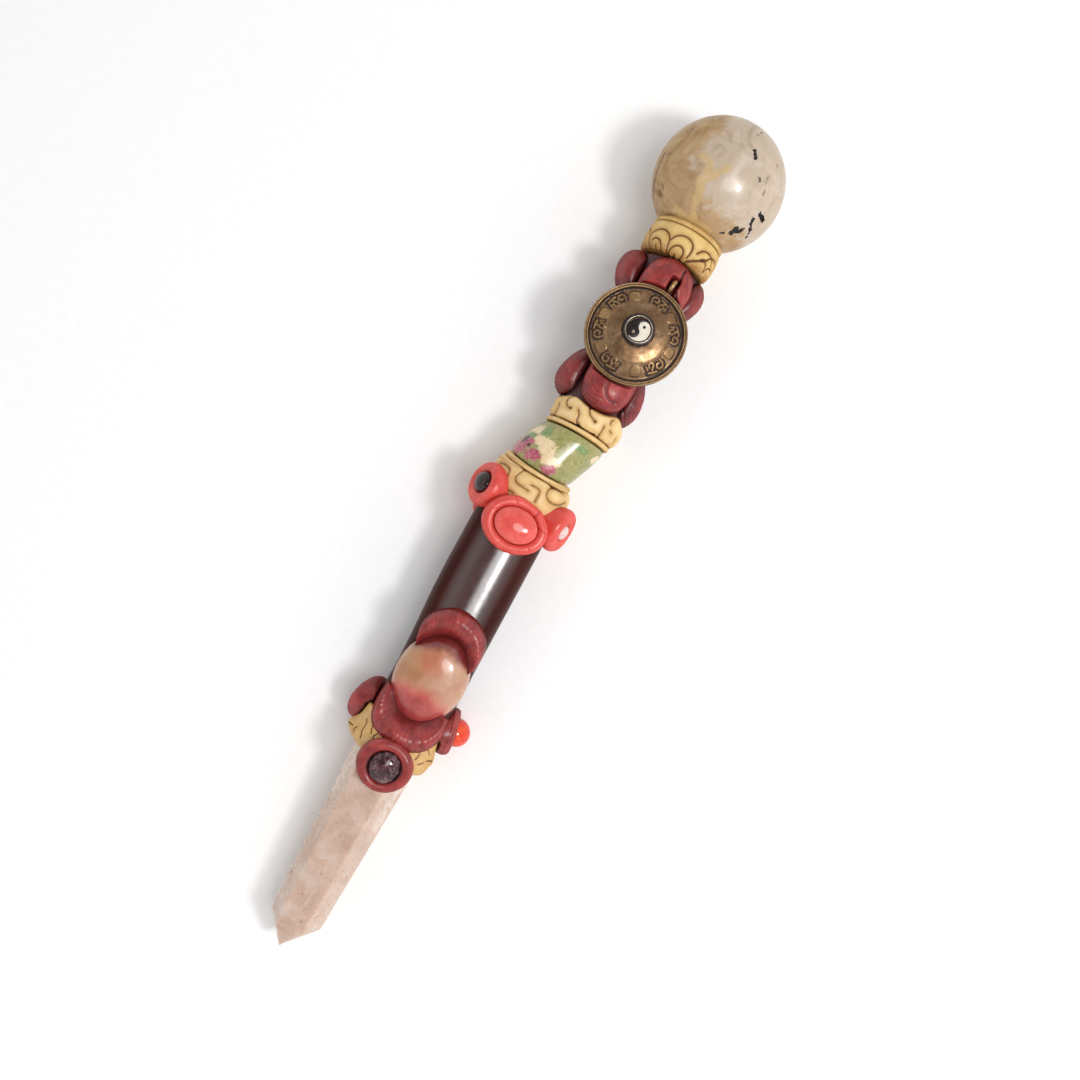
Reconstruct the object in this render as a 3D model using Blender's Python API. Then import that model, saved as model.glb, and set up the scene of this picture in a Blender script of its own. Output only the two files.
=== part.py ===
"""Handmade crystal wand, lying on its back.

The wand is drawn in its own frame, in millimetres: a station is the distance from the
quartz tip along the wand, +Y is the wand's left side and +Z its front, where the
medallion and the cabochons are. Angles around the wand are counted from the front,
positive towards the left. The last step lays the wand on a table, where it rests on
the pommel sphere and on the two side bezels behind the quartz point.
"""
import math

import bmesh
import bpy
from mathutils import Matrix, Vector

MM = 0.001
GAP = 0.3
MERGE = 0.000001
ROUND_STEPS = 28
SMALL_STEPS = 16

# Quartz point: a tapering six-sided prism with a short chisel tip that ends in a ridge.
QUARTZ_END = 72.0
QUARTZ_SHOULDER = 8.5
QUARTZ_SHOULDER_R = 8.3
QUARTZ_END_R = 10.7
QUARTZ_AXIS = ((0.0, 0.75), (72.0, 2.1))
QUARTZ_CORNERS_DEG = (32, 91, 149, 212, 270, 329)
QUARTZ_SHOULDER_SHIFTS = (-0.8, 0.4, 0.2, 1.2, 1.4, -0.4)
QUARTZ_RIDGE_FRONT = (0.0, 0.95, 1.6)
QUARTZ_RIDGE_BACK = (0.4, 0.55, -1.7)

# Core rod that carries the stacked collars, the bead, the waist and the cup.
ROD_R = 3.0
ROD_START = (120.0, 3.1)
ROD_END = (240.8, -0.2)

# Stacked pieces: (station, lateral offset, yaw in degrees, radius). The handle is a round
# bar, slightly bent and waisted, with an oval seat for the palm stone.
HANDLE = (
    (72.3, 1.60, 0.0, 11.1),
    (92.0, 1.65, 0.0, 11.1),
    (108.0, 2.45, 0.0, 11.4),
    (124.0, 3.15, 0.0, 11.7),
    (140.0, 3.50, 0.0, 11.65),
    (150.0, 3.75, 0.0, 11.5),
)
TIP_COLLAR = (
    (64.5, 1.95, 0.0, 11.6),
    (66.0, 1.95, 0.0, 12.5),
    (69.5, 1.90, 0.0, 12.9),
    (74.0, 1.80, 0.0, 12.9),
    (76.6, 1.80, 0.0, 12.3),
)
LOWER_COLLAR = (
    (150.3, 3.80, 0.0, 11.9),
    (152.0, 3.90, -1.0, 12.5),
    (156.0, 4.10, -3.5, 12.7),
    (158.6, 4.20, -5.0, 12.1),
    (160.0, 4.30, -6.0, 11.2),
)
LOWER_BAND = (
    (160.3, 4.30, -6.0, 10.7),
    (160.7, 4.32, -6.2, 11.4),
    (161.5, 4.36, -6.3, 11.4),
    (161.9, 4.40, -6.3, 10.7),
)
BEAD = (
    (162.2, 4.40, -6.3, 10.0),
    (163.4, 4.25, -6.0, 10.4),
    (166.5, 3.40, -5.0, 10.7),
    (170.0, 2.20, -3.5, 10.7),
    (173.5, 0.95, -1.5, 10.5),
    (175.2, 0.15, -0.5, 10.2),
    (175.9, -0.15, 0.0, 9.9),
)
UPPER_BAND = (
    (176.2, -0.25, 0.0, 9.9),
    (176.6, -0.35, 0.0, 10.4),
    (177.4, -0.45, 0.0, 10.4),
    (177.8, -0.50, 0.0, 10.0),
)
UPPER_COLLAR = (
    (178.1, -0.60, 0.0, 10.2),
    (179.4, -0.80, 0.0, 10.9),
    (181.5, -0.90, 0.0, 11.2),
    (183.2, -0.85, 0.0, 11.0),
    (183.9, -0.75, 0.0, 10.4),
)
WAIST = (
    (184.2, 0.0, 0.0, 8.7),
    (185.2, 0.0, 0.0, 9.2),
    (233.4, 0.0, 0.0, 9.2),
    (234.4, 0.0, 0.0, 8.7),
)

# Palm stone and the two lips that hold it.
PALM_STATION = 92.5
PALM_Y = 1.4
PALM_HALF_LENGTH = 14.3
PALM_HALF_WIDTH = 10.85
PALM_BASE = 5.0
PALM_HEIGHT = 8.2
PALM_GIRDLE = 1.6
PALM_SEAT_HEIGHT = 12.0
LIP_SPREAD_DEG = 72
LIP_BASE_R = 10.3
LIP_CROWN = 4.8
LIP_END_CROWN = 2.3
LIP_DRAW_IN = 6.0
LIP_REACH = 0.93
LIP_OUTER_EDGES = (72.3, 115.0)

# Petals around the waist, and the medallion that covers their roots.
PETAL_ANGLES = {"front": -8, "left": 82, "right": -98, "back": 172}
PETAL_HALF_ANGLE = 42.5
PETAL_SEAT_R = 9.5
PETAL_EDGE = 0.5
LOWER_PETAL = {"tip": 184.2, "root": 204.0, "crown": 4.1}
UPPER_PETAL = {"tip": 234.5, "root": 214.0, "crown": 4.6}
MEDALLION_CENTRE = (208.9, -0.7)
MEDALLION_R = 15.1
MEDALLION_BACK = 11.2
MEDALLION_RIM_WIDTH = 1.6
MEDALLION_RIM_HEIGHT = 1.9
PLATE_EDGE = 1.3
PLATE_SLOPE = ((11.5, 2.2), (8.6, 3.4))
PAD_R = 5.0
PAD_HEIGHT = 6.0
PAD_SHIFT = 0.1
BOSS_SHIFT = 0.7
BOSS_R = 4.5
BOSS_INNER_R = 3.65
BOSS_HEIGHT = 1.0
ENAMEL_HEIGHT = 0.7
ENAMEL_TURN_DEG = 50
BOSS_LAND_R = 5.6
DOME_TOP = 4.3
BAIL_R = 1.45
BAIL_WIRE_R = 0.7
BAIL_TURN_DEG = -7.4
BAIL_LIFT = 1.3
NOTCH_SIZE = (6.3, 2.6, 9.0)
NOTCH_MIDDLE = (-0.8, 1.85)

# Pommel: a clay cup and the sphere that sits in it.
SPHERE_STATION = 262.8
SPHERE_R = 19.8
CUP_START = 234.7
CUP_R = 11.45
CUP_AXIS_Y = 0.1
CUP_END = 243.6
CUP_WALL_R = 9.0
CUP_SEAT_R = 8.2
RIM_END = 245.3
RIM_SEAT_R = 10.5

# Bezel cups: station, axis offset, angle, lean towards the sphere, base distance from the
# axis, half length, half width, height and the stone's half length, half width, height.
TIP_BEZELS = {
    "front": (64.7, 2.0, -6, -10, 10.5, 7.5, 8.2, 4.4, 4.8, 4.6, 4.0),
    "left": (76.3, 1.9, 114, 12, 12.4, 7.8, 7.5, 4.1, 3.2, 3.2, 2.6),
    "right": (79.5, 1.9, -114, 12, 12.4, 7.6, 7.5, 4.1, 4.4, 4.4, 6.9),
}
CORAL_BEZELS = {
    "front": (143.5, 3.5, -5.5, 0, 11.2, 8.4, 9.9, 5.0, 5.0, 6.5, 4.0),
    "left": (150.5, 3.8, 55, -4, 11.1, 7.0, 7.0, 5.2, 3.1, 3.4, 3.4),
    "right": (149.3, 3.8, -69, -4, 11.4, 7.1, 6.8, 5.2, 2.3, 2.3, 2.8),
    "back_left": (146.6, 3.7, 139, 0, 11.0, 6.2, 6.2, 3.7, 2.5, 2.5, 2.4),
    "back_right": (146.6, 3.7, -145, 0, 11.0, 6.2, 6.2, 3.7, 2.5, 2.5, 2.4),
}
RECESS_DEPTH = 2.4

FINISHES = {
    "quartz": ((0.72, 0.60, 0.50), 0.12, 0.0),
    "cream_clay": ((0.72, 0.52, 0.22), 0.45, 0.0),
    "maroon_clay": ((0.26, 0.025, 0.03), 0.35, 0.0),
    "coral_clay": ((0.80, 0.09, 0.07), 0.35, 0.0),
    "handle_wood": ((0.06, 0.02, 0.02), 0.35, 0.0),
    "core_steel": ((0.55, 0.56, 0.58), 0.35, 1.0),
    "palm_stone": ((0.55, 0.28, 0.17), 0.08, 0.0),
    "coral_stone": ((0.80, 0.10, 0.08), 0.10, 0.0),
    "garnet": ((0.07, 0.02, 0.03), 0.08, 0.0),
    "carnelian": ((0.75, 0.06, 0.02), 0.08, 0.0),
    "opal": ((0.62, 0.42, 0.38), 0.08, 0.0),
    "bead_stone": ((0.33, 0.36, 0.14), 0.15, 0.0),
    "brass": ((0.35, 0.24, 0.12), 0.35, 1.0),
    "enamel_black": ((0.02, 0.015, 0.015), 0.25, 0.0),
    "enamel_white": ((0.80, 0.77, 0.72), 0.25, 0.0),
    "pommel_stone": ((0.60, 0.50, 0.37), 0.10, 0.0),
}


def clear_scene():
    for obj in list(bpy.data.objects):
        bpy.data.objects.remove(obj)


def finish(slot):
    """The material of a slot, made the first time that it is asked for."""
    material = bpy.data.materials.get(slot)
    if material is None:
        colour, roughness, metallic = FINISHES[slot]
        material = bpy.data.materials.new(slot)
        material.use_nodes = True
        shader = material.node_tree.nodes["Principled BSDF"]
        shader.inputs["Base Color"].default_value = (*colour, 1.0)
        shader.inputs["Roughness"].default_value = roughness
        shader.inputs["Metallic"].default_value = metallic
        material.diffuse_color = (*colour, 1.0)
    return material


def add_object(name, bm, slot, sharp_deg=40):
    bmesh.ops.recalc_face_normals(bm, faces=bm.faces)
    mesh = bpy.data.meshes.new(name)
    bm.to_mesh(mesh)
    bm.free()
    mesh.materials.append(finish(slot))
    mesh.shade_smooth()
    mesh.set_sharp_from_angle(angle=math.radians(sharp_deg))
    obj = bpy.data.objects.new(name, mesh)
    bpy.context.scene.collection.objects.link(obj)
    obj.parent = bpy.data.objects["wand"]
    return obj


def as_cutter(obj):
    obj.display_type = "WIRE"
    obj.hide_render = True
    return obj


def cut(obj, *cutters):
    """Subtract each cutter from the object."""
    for cutter in cutters:
        modifier = obj.modifiers.new("cut_" + cutter.name, "BOOLEAN")
        modifier.operation = "DIFFERENCE"
        modifier.solver = "EXACT"
        modifier.object = cutter


def offset_at(axis, station):
    """Lateral offset of a straight axis at a station."""
    (start, low), (end, high) = axis
    return low + (high - low) * (station - start) / (end - start)


def around(station, centre, radius, angle):
    """Point at a radius and an angle from the front, around an axis offset sideways."""
    return Vector((station, centre + radius * math.sin(angle), radius * math.cos(angle)))


def loft(loops):
    """Closed skin through loops of equal length, given in millimetres, with both ends filled."""
    bm = bmesh.new()
    rings = [[bm.verts.new(point * MM) for point in loop] for loop in loops]
    for ring, following in zip(rings, rings[1:]):
        for i, corner in enumerate(ring):
            j = (i + 1) % len(ring)
            bm.faces.new((corner, ring[j], following[j], following[i]))
    bm.faces.new(rings[0])
    bm.faces.new(rings[-1])
    return bm


def spun(profile, steps):
    """Solid of revolution about Z from (radius, height) points that start and end on the axis."""
    bm = bmesh.new()
    verts = [bm.verts.new(Vector((radius, 0.0, height)) * MM) for radius, height in profile]
    edges = [bm.edges.new(pair) for pair in zip(verts, verts[1:])]
    if profile[0][0] > 0.0:
        edges.append(bm.edges.new((verts[-1], verts[0])))
    turn = {"cent": (0, 0, 0), "axis": (0, 0, 1), "angle": 2 * math.pi, "steps": steps}
    bmesh.ops.spin(bm, geom=verts + edges, **turn)
    bmesh.ops.remove_doubles(bm, verts=bm.verts, dist=MERGE)
    return bm


def disc_loop(station, centre, yaw_deg, radius):
    """Circle across the wand, its plane turned sideways by the yaw."""
    yaw = math.radians(yaw_deg)
    loop = []
    for i in range(ROUND_STEPS):
        angle = 2 * math.pi * i / ROUND_STEPS
        side = radius * math.sin(angle)
        front = radius * math.cos(angle)
        loop.append(Vector((station - side * math.sin(yaw), centre + side * math.cos(yaw), front)))
    return loop


def stacked(name, sections, slot):
    return add_object(name, loft([disc_loop(*section) for section in sections]), slot)


def space_around(name, sections):
    """Cutter that holds the clearance around a stacked piece."""
    grown = [(station, centre, yaw, radius + GAP) for station, centre, yaw, radius in sections]
    first, last = grown[0], grown[-1]
    grown = [(first[0] - GAP, *first[1:]), *grown, (last[0] + GAP, *last[1:])]
    return as_cutter(stacked(name, grown, "core_steel"))


def rod_bm(radius, start, end):
    """Straight round bar between two (station, lateral offset) points."""
    yaw = math.degrees(math.atan2(end[1] - start[1], end[0] - start[0]))
    return loft([disc_loop(*point, yaw, radius) for point in (start, end)])


def quartz_bm(grow):
    """Six-sided point; grow widens it for a clearance cutter."""
    def corner(station, i):
        share = (station - QUARTZ_SHOULDER) / (QUARTZ_END - QUARTZ_SHOULDER)
        radius = QUARTZ_SHOULDER_R + (QUARTZ_END_R - QUARTZ_SHOULDER_R) * share + grow
        angle = math.radians(QUARTZ_CORNERS_DEG[i])
        return around(station, offset_at(QUARTZ_AXIS, station), radius, angle) * MM

    bm = bmesh.new()
    corners = range(len(QUARTZ_CORNERS_DEG))
    end = [bm.verts.new(corner(QUARTZ_END + grow, i)) for i in corners]
    shoulder = [
        bm.verts.new(corner(QUARTZ_SHOULDER + QUARTZ_SHOULDER_SHIFTS[i], i)) for i in corners
    ]
    ridge_front = bm.verts.new(Vector(QUARTZ_RIDGE_FRONT) * MM)
    ridge_back = bm.verts.new(Vector(QUARTZ_RIDGE_BACK) * MM)
    for i in corners:
        j = (i + 1) % len(end)
        bm.faces.new((end[i], end[j], shoulder[j], shoulder[i]))
    bm.faces.new(end)
    bm.faces.new((shoulder[0], shoulder[1], ridge_front))
    bm.faces.new((shoulder[1], shoulder[2], ridge_back, ridge_front))
    bm.faces.new((shoulder[2], shoulder[3], ridge_back))
    bm.faces.new((shoulder[3], shoulder[4], ridge_back))
    bm.faces.new((shoulder[4], shoulder[5], ridge_front, ridge_back))
    bm.faces.new((shoulder[5], shoulder[0], ridge_front))
    return bm


def seat_matrix(station, centre, angle_deg, lean_deg, distance):
    """Frame on the wand's side: Z points outwards and leans towards the sphere, X runs along it."""
    turn = Matrix.Rotation(math.radians(-angle_deg), 4, "X")
    lean = Matrix.Rotation(math.radians(lean_deg), 4, "Y")
    place = around(station, centre, distance, math.radians(angle_deg)) * MM
    return Matrix.Translation(place) @ turn @ lean


def stretch(bm, half_length, half_width):
    """Turn a round solid of radius half_length into an oval one."""
    bmesh.ops.scale(bm, vec=(1.0, half_width / half_length, 1.0), verts=bm.verts)
    return bm


def disc_profile(radius, height):
    return ((0.0, 0.0), (radius, 0.0), (radius, height), (0.0, height))


def cup_profile(radius, height, hole):
    floor = height - RECESS_DEPTH
    return (
        (0.0, 0.0), (0.74 * radius, 0.0), (0.94 * radius, 0.17 * height),
        (radius, 0.44 * height), (0.95 * radius, 0.74 * height), (0.82 * radius, 0.95 * height),
        (0.5 * (0.82 * radius + hole), height), (hole + 0.1, 0.93 * height),
        (hole, 0.8 * height), (hole, floor), (0.0, floor),
    )


def bezel_space(name, row):
    """Cutter that holds the clearance around a bezel cup."""
    radius, width, height = row[5] + GAP, row[6] + GAP, row[7] + GAP
    profile = [*cup_profile(radius, height, 0.0)[:6], (0.0, height)]
    space = as_cutter(add_object(name, stretch(spun(profile, SMALL_STEPS), radius, width), "core_steel"))
    space.matrix_local = seat_matrix(*row[:5])
    return space


def dome_profile(radius, height, girdle):
    """Cabochon: flat base, a short upright girdle and an elliptical dome."""
    rise = height - girdle
    points = [(0.0, 0.0), (0.95 * radius, 0.0), (radius, 0.3 * girdle)]
    for angle_deg in (0, 24, 46, 68):
        angle = math.radians(angle_deg)
        points.append((radius * math.cos(angle), girdle + rise * math.sin(angle)))
    points.append((0.0, height))
    return points


def set_stone(name, seat, bezel_height, half_length, half_width, height, slot):
    """Cabochon standing in the recess of a bezel cup."""
    bm = spun(dome_profile(half_length, height, min(1.4, 0.4 * height)), SMALL_STEPS)
    stone = add_object(name, stretch(bm, half_length, half_width), slot)
    lift = (bezel_height - RECESS_DEPTH + GAP) * MM
    stone.matrix_local = seat @ Matrix.Translation((0, 0, lift))
    return stone


def bezel_with_stone(group, key, row, clay, stone_slot, cutters):
    station, centre, angle, lean, distance, half_length, half_width, height = row[:8]
    stone_length, stone_width, stone_height = row[8:]
    seat = seat_matrix(station, centre, angle, lean, distance)
    bm = spun(cup_profile(half_length, height, stone_length + GAP), SMALL_STEPS)
    ring_growth = half_width / half_length
    hole_growth = (stone_width + GAP) / (stone_length + GAP)
    rim = 0.5 * (0.82 * half_length + stone_length + GAP)
    for vert in bm.verts:
        inside = math.hypot(vert.co.x, vert.co.y) < (rim - 0.01) * MM and vert.co.z > MM
        vert.co.y *= hole_growth if inside else ring_growth
    bezel = add_object(f"{group}_bezel_{key}", bm, clay)
    bezel.matrix_local = seat
    cut(bezel, *cutters)
    set_stone(f"{group}_stone_{key}", seat, height, stone_length, stone_width, stone_height, stone_slot)
    return bezel


def palm_edge(side):
    """Half length of the palm stone's outline at a sideways distance from its middle."""
    share = min(abs(side) / PALM_HALF_WIDTH, LIP_REACH)
    return (PALM_HALF_LENGTH + GAP) * math.sqrt(1.0 - share * share)


def lip_loop(angle, outer, direction):
    """Cross-section of a lip at an angle around the palm stone's axis.

    outer is the station of the lip's outer edge at the front, and direction is +1 for the
    lip on the sphere's side. Towards its ends the lip draws in around the stone.
    """
    fade = (angle / math.radians(LIP_SPREAD_DEG)) ** 2
    inner_edge = PALM_STATION + direction * palm_edge(LIP_BASE_R * math.sin(angle))
    outer_edge = outer - direction * LIP_DRAW_IN * fade
    crown = LIP_CROWN + (LIP_END_CROWN - LIP_CROWN) * fade
    outline = ((0.0, 0.0), (0.0, 0.55), (0.18, 0.92), (0.5, 1.0), (0.82, 0.9), (1.0, 0.5), (1.0, 0.0))
    loop = []
    for across, up in outline:
        station = outer_edge + (inner_edge - outer_edge) * across
        loop.append(around(station, PALM_Y, LIP_BASE_R + crown * up, angle))
    return loop


def lip(name, outer, direction, cutters):
    count = 13
    spread = math.radians(LIP_SPREAD_DEG)
    angles = [spread * (2 * i / (count - 1) - 1) for i in range(count)]
    loops = [lip_loop(angle, outer, direction) for angle in angles]
    cut(add_object(name, loft(loops), "maroon_clay"), *cutters)


def petal_loop(station, middle_deg, half_angle, crown):
    """Cross-section of a petal: an inner arc on the waist and a crowned outer arc."""
    steps = 6
    middle = math.radians(middle_deg)
    inner, outer = [], []
    for i in range(steps + 1):
        share = 2 * i / steps - 1
        angle = middle + math.radians(half_angle) * share
        swell = PETAL_EDGE + crown * math.sqrt(max(0.0, 1.0 - 0.9 * share * share))
        inner.append(around(station, 0.0, PETAL_SEAT_R, angle))
        outer.append(around(station, 0.0, PETAL_SEAT_R + swell, angle))
    return inner + outer[::-1]


def petal(name, size, middle_deg):
    """Plump tongue whose round tip points away from the medallion."""
    loops = []
    for share in (0.0, 0.04, 0.13, 0.27, 0.45, 0.65, 0.85, 1.0):
        station = size["tip"] + (size["root"] - size["tip"]) * share
        tip_round = math.sqrt(min(1.0, 1.0 - (1.0 - min(share / 0.42, 1.0)) ** 2))
        width = PETAL_HALF_ANGLE * (0.28 + 0.72 * tip_round)
        height = size["crown"] * (0.12 + 0.88 * tip_round) * (1.0 - 0.35 * share)
        loops.append(petal_loop(station, middle_deg, width, height))
    return add_object(name, loft(loops), "maroon_clay")


def build_quartz_end():
    add_object("quartz_point", quartz_bm(0.0), "quartz", sharp_deg=5)
    quartz_space = as_cutter(add_object("quartz_space", quartz_bm(GAP), "core_steel"))
    handle_space = space_around("handle_space", HANDLE)
    collar_space = space_around("tip_collar_space", TIP_COLLAR)
    cut(stacked("tip_collar", TIP_COLLAR, "cream_clay"), quartz_space, handle_space)
    stones = {"front": "garnet", "left": "garnet", "right": "carnelian"}
    for key, row in TIP_BEZELS.items():
        spaces = [collar_space, quartz_space if key == "front" else handle_space]
        bezel_with_stone("tip", key, row, "maroon_clay", stones[key], spaces)
    return handle_space, collar_space


def build_handle(handle_space, collar_space, bore):
    handle = stacked("handle", HANDLE, "handle_wood")
    seat_bm = spun(disc_profile(PALM_HALF_LENGTH + GAP, PALM_SEAT_HEIGHT), ROUND_STEPS)
    stretch(seat_bm, PALM_HALF_LENGTH + GAP, PALM_HALF_WIDTH + GAP)
    seat_cutter = as_cutter(add_object("palm_seat_space", seat_bm, "core_steel"))
    seat_cutter.location = Vector((PALM_STATION, PALM_Y, PALM_BASE - GAP)) * MM
    cut(handle, bore, seat_cutter)

    bm = spun(dome_profile(PALM_HALF_LENGTH, PALM_HEIGHT, PALM_GIRDLE), ROUND_STEPS)
    stone = add_object("palm_stone", stretch(bm, PALM_HALF_LENGTH, PALM_HALF_WIDTH), "palm_stone")
    stone.location = Vector((PALM_STATION, PALM_Y, PALM_BASE)) * MM
    lip("palm_lip_lower", LIP_OUTER_EDGES[0], -1, (collar_space, handle_space))
    lip("palm_lip_upper", LIP_OUTER_EDGES[1], 1, (handle_space,))


def build_coral_ring(handle_space, collar_space):
    stones = {"front": "coral_stone", "left": "garnet", "right": "opal"}
    front_space = bezel_space("coral_front_space", CORAL_BEZELS["front"])
    for key, row in CORAL_BEZELS.items():
        spaces = [handle_space, collar_space]
        if key in ("left", "right"):
            spaces.append(front_space)
        bezel_with_stone("coral", key, row, "coral_clay", stones.get(key, "garnet"), spaces)


def build_stack(bore):
    rod = rod_bm(ROD_R, ROD_START, ROD_END)
    add_object("core_rod", rod, "core_steel")
    pieces = {
        "lower_collar": (LOWER_COLLAR, "cream_clay"),
        "lower_collar_band": (LOWER_BAND, "cream_clay"),
        "stone_bead": (BEAD, "bead_stone"),
        "upper_collar_band": (UPPER_BAND, "cream_clay"),
        "upper_collar": (UPPER_COLLAR, "cream_clay"),
        "waist_core": (WAIST, "maroon_clay"),
    }
    for name, (sections, slot) in pieces.items():
        cut(stacked(name, sections, slot), bore)


def medallion_space():
    """Cutter above the medallion's back, a gap wider than its rim."""
    bm = spun(disc_profile(MEDALLION_R + GAP, 2 * DOME_TOP), 2 * ROUND_STEPS)
    space = as_cutter(add_object("medallion_space", bm, "core_steel"))
    space.location = Vector((*MEDALLION_CENTRE, MEDALLION_BACK - GAP)) * MM
    return space


def build_petals():
    space = medallion_space()
    for key, angle in PETAL_ANGLES.items():
        lower = petal(f"lower_petal_{key}", LOWER_PETAL, angle)
        upper = petal(f"upper_petal_{key}", UPPER_PETAL, angle)
        if key == "front":
            cut(lower, space)
            cut(upper, space, bail_notch())


def bail_place():
    """Middle of the bail, just outside the medallion's rim."""
    turn = math.radians(BAIL_TURN_DEG)
    reach = MEDALLION_R + GAP + BAIL_R + BAIL_WIRE_R
    x = MEDALLION_CENTRE[0] + reach * math.cos(turn)
    y = MEDALLION_CENTRE[1] + reach * math.sin(turn)
    return Vector((x, y, MEDALLION_BACK + BAIL_LIFT))


def bail_notch():
    """Hollow that the petal leaves around the bail."""
    bm = bmesh.new()
    bmesh.ops.create_cube(bm, size=1.0)
    bmesh.ops.scale(bm, vec=Vector(NOTCH_SIZE) * MM, verts=bm.verts)
    notch = as_cutter(add_object("bail_notch", bm, "core_steel"))
    along, up = NOTCH_MIDDLE
    notch.location = (bail_place() + Vector((along, 0.0, up))) * MM
    notch.rotation_euler.z = math.radians(BAIL_TURN_DEG)
    return notch


def arc(centre_y, radius, start, end, steps):
    """Points of an arc about (0, centre_y), both ends included."""
    angles = [start + (end - start) * i / steps for i in range(steps + 1)]
    return [Vector((radius * math.cos(a), centre_y + radius * math.sin(a), 0.0)) for a in angles]


def teardrop_bm(radius, height, half):
    """One half of a circle split by an S curve; half is +1 or -1.

    The S curve is drawn half a gap inside each half, which blunts the half's thin horn.
    """
    inset = GAP / 2
    middle = radius / 2
    horn = math.acos(1.25 - (0.5 + inset / radius) ** 2)
    horn_x, horn_y = radius * math.sin(horn), radius * math.cos(horn)
    outline = arc(0.0, radius, math.pi / 2 - horn, -math.pi / 2, 14)
    outline += arc(-middle, middle - inset, -math.pi / 2, -3 * math.pi / 2, 8)
    hollow_end = math.atan2(horn_y - middle, horn_x)
    outline += arc(middle, middle + inset, -math.pi / 2, hollow_end, 8)[1:-1]
    lower = [Vector((-point.x, point.y, 0.0)) * half for point in outline]
    upper = [point + Vector((0.0, 0.0, height)) for point in lower]
    return loft([lower, upper])


def ring_profile(inner, outer, height):
    """Closed profile of a ring with rounded shoulders."""
    soft = 0.28 * min(outer - inner, height)
    return (
        (inner, soft), (inner, height - soft), (inner + soft, height), (outer - soft, height),
        (outer, height - soft), (outer, soft), (outer - soft, 0.0), (inner + soft, 0.0),
    )


def build_medallion():
    x, y = MEDALLION_CENTRE
    back = Vector((x, y, MEDALLION_BACK)) * MM
    pad = add_object("medallion_pad", spun(disc_profile(PAD_R, PAD_HEIGHT), SMALL_STEPS), "maroon_clay")
    pad.location = Vector((x + PAD_SHIFT, y, MEDALLION_BACK - GAP - PAD_HEIGHT)) * MM
    cut(pad, space_around("waist_space", WAIST))

    plate_r = MEDALLION_R - MEDALLION_RIM_WIDTH
    plate_profile = (
        (0.0, 0.0), (plate_r, 0.0), (plate_r, PLATE_EDGE), *PLATE_SLOPE, (BOSS_LAND_R, DOME_TOP),
        (0.0, DOME_TOP),
    )
    plate = add_object("medallion_plate", spun(plate_profile, ROUND_STEPS), "brass")
    plate.location = back
    rim_bm = spun(ring_profile(plate_r + GAP, MEDALLION_R, MEDALLION_RIM_HEIGHT), ROUND_STEPS)
    add_object("medallion_rim", rim_bm, "brass").location = back

    boss_base = back + Vector((BOSS_SHIFT, 0.0, DOME_TOP + GAP)) * MM
    boss_bm = spun(ring_profile(BOSS_INNER_R, BOSS_R, BOSS_HEIGHT), SMALL_STEPS)
    add_object("medallion_boss", boss_bm, "enamel_black").location = boss_base
    for half, shade in ((1, "white"), (-1, "black")):
        bm = teardrop_bm(BOSS_INNER_R - 2 * GAP, ENAMEL_HEIGHT, half)
        enamel = add_object(f"enamel_{shade}", bm, f"enamel_{shade}")
        enamel.location = boss_base
        enamel.rotation_euler.z = math.radians(ENAMEL_TURN_DEG)

    section = []
    for i in range(8):
        angle = 2 * math.pi * i / 8
        section.append((BAIL_R + BAIL_WIRE_R * math.cos(angle), BAIL_WIRE_R * math.sin(angle)))
    bail = add_object("medallion_bail", spun(section, 16), "brass")
    bail.location = bail_place() * MM
    bail.rotation_euler = (math.radians(90), 0.0, math.radians(BAIL_TURN_DEG))


def seat_arc(low_r, high_r, count):
    """(radius, station) points on the spherical seat under the pommel sphere."""
    seat_r = SPHERE_R + GAP
    points = []
    for i in range(count):
        radius = low_r + (high_r - low_r) * i / (count - 1)
        points.append((radius, SPHERE_STATION - math.sqrt(seat_r ** 2 - radius ** 2)))
    return points


def along_wand(obj):
    """Lay a solid that was turned about Z along the wand, on the pommel's axis."""
    obj.rotation_euler.y = math.radians(90)
    obj.location.y = CUP_AXIS_Y * MM
    return obj


def build_pommel(bore):
    cup_profile_points = [
        (0.0, CUP_START), (CUP_R - 1.4, CUP_START), (CUP_R - 0.5, CUP_START + 0.9),
        (CUP_R, CUP_START + 3.6), (CUP_R - 0.1, CUP_START + 6.4), (CUP_R - 0.5, CUP_END),
        (CUP_WALL_R, CUP_END),
    ]
    cup_profile_points += seat_arc(0.0, CUP_SEAT_R, 4)[::-1]
    cup = along_wand(add_object("pommel_cup", spun(cup_profile_points, ROUND_STEPS), "cream_clay"))
    cut(cup, bore)

    rim_points = seat_arc(CUP_WALL_R, RIM_SEAT_R, 3)
    rim_points += [(CUP_R - 0.5, RIM_END), (CUP_R - 0.3, RIM_END - 0.7), (CUP_R - 0.5, CUP_END + GAP)]
    rim_points.append((CUP_WALL_R, CUP_END + GAP))
    along_wand(add_object("pommel_rim", spun(rim_points, ROUND_STEPS), "cream_clay"))

    bm = bmesh.new()
    bmesh.ops.create_uvsphere(bm, u_segments=36, v_segments=18, radius=SPHERE_R * MM)
    sphere = add_object("pommel_sphere", bm, "pommel_stone")
    sphere.location = Vector((SPHERE_STATION, CUP_AXIS_Y, 0.0)) * MM
    return sphere


def world_points(obj):
    """The points of an object as its modifiers leave it."""
    evaluated = obj.evaluated_get(bpy.context.evaluated_depsgraph_get())
    return [evaluated.matrix_world @ vert.co for vert in evaluated.data.vertices]


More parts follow.
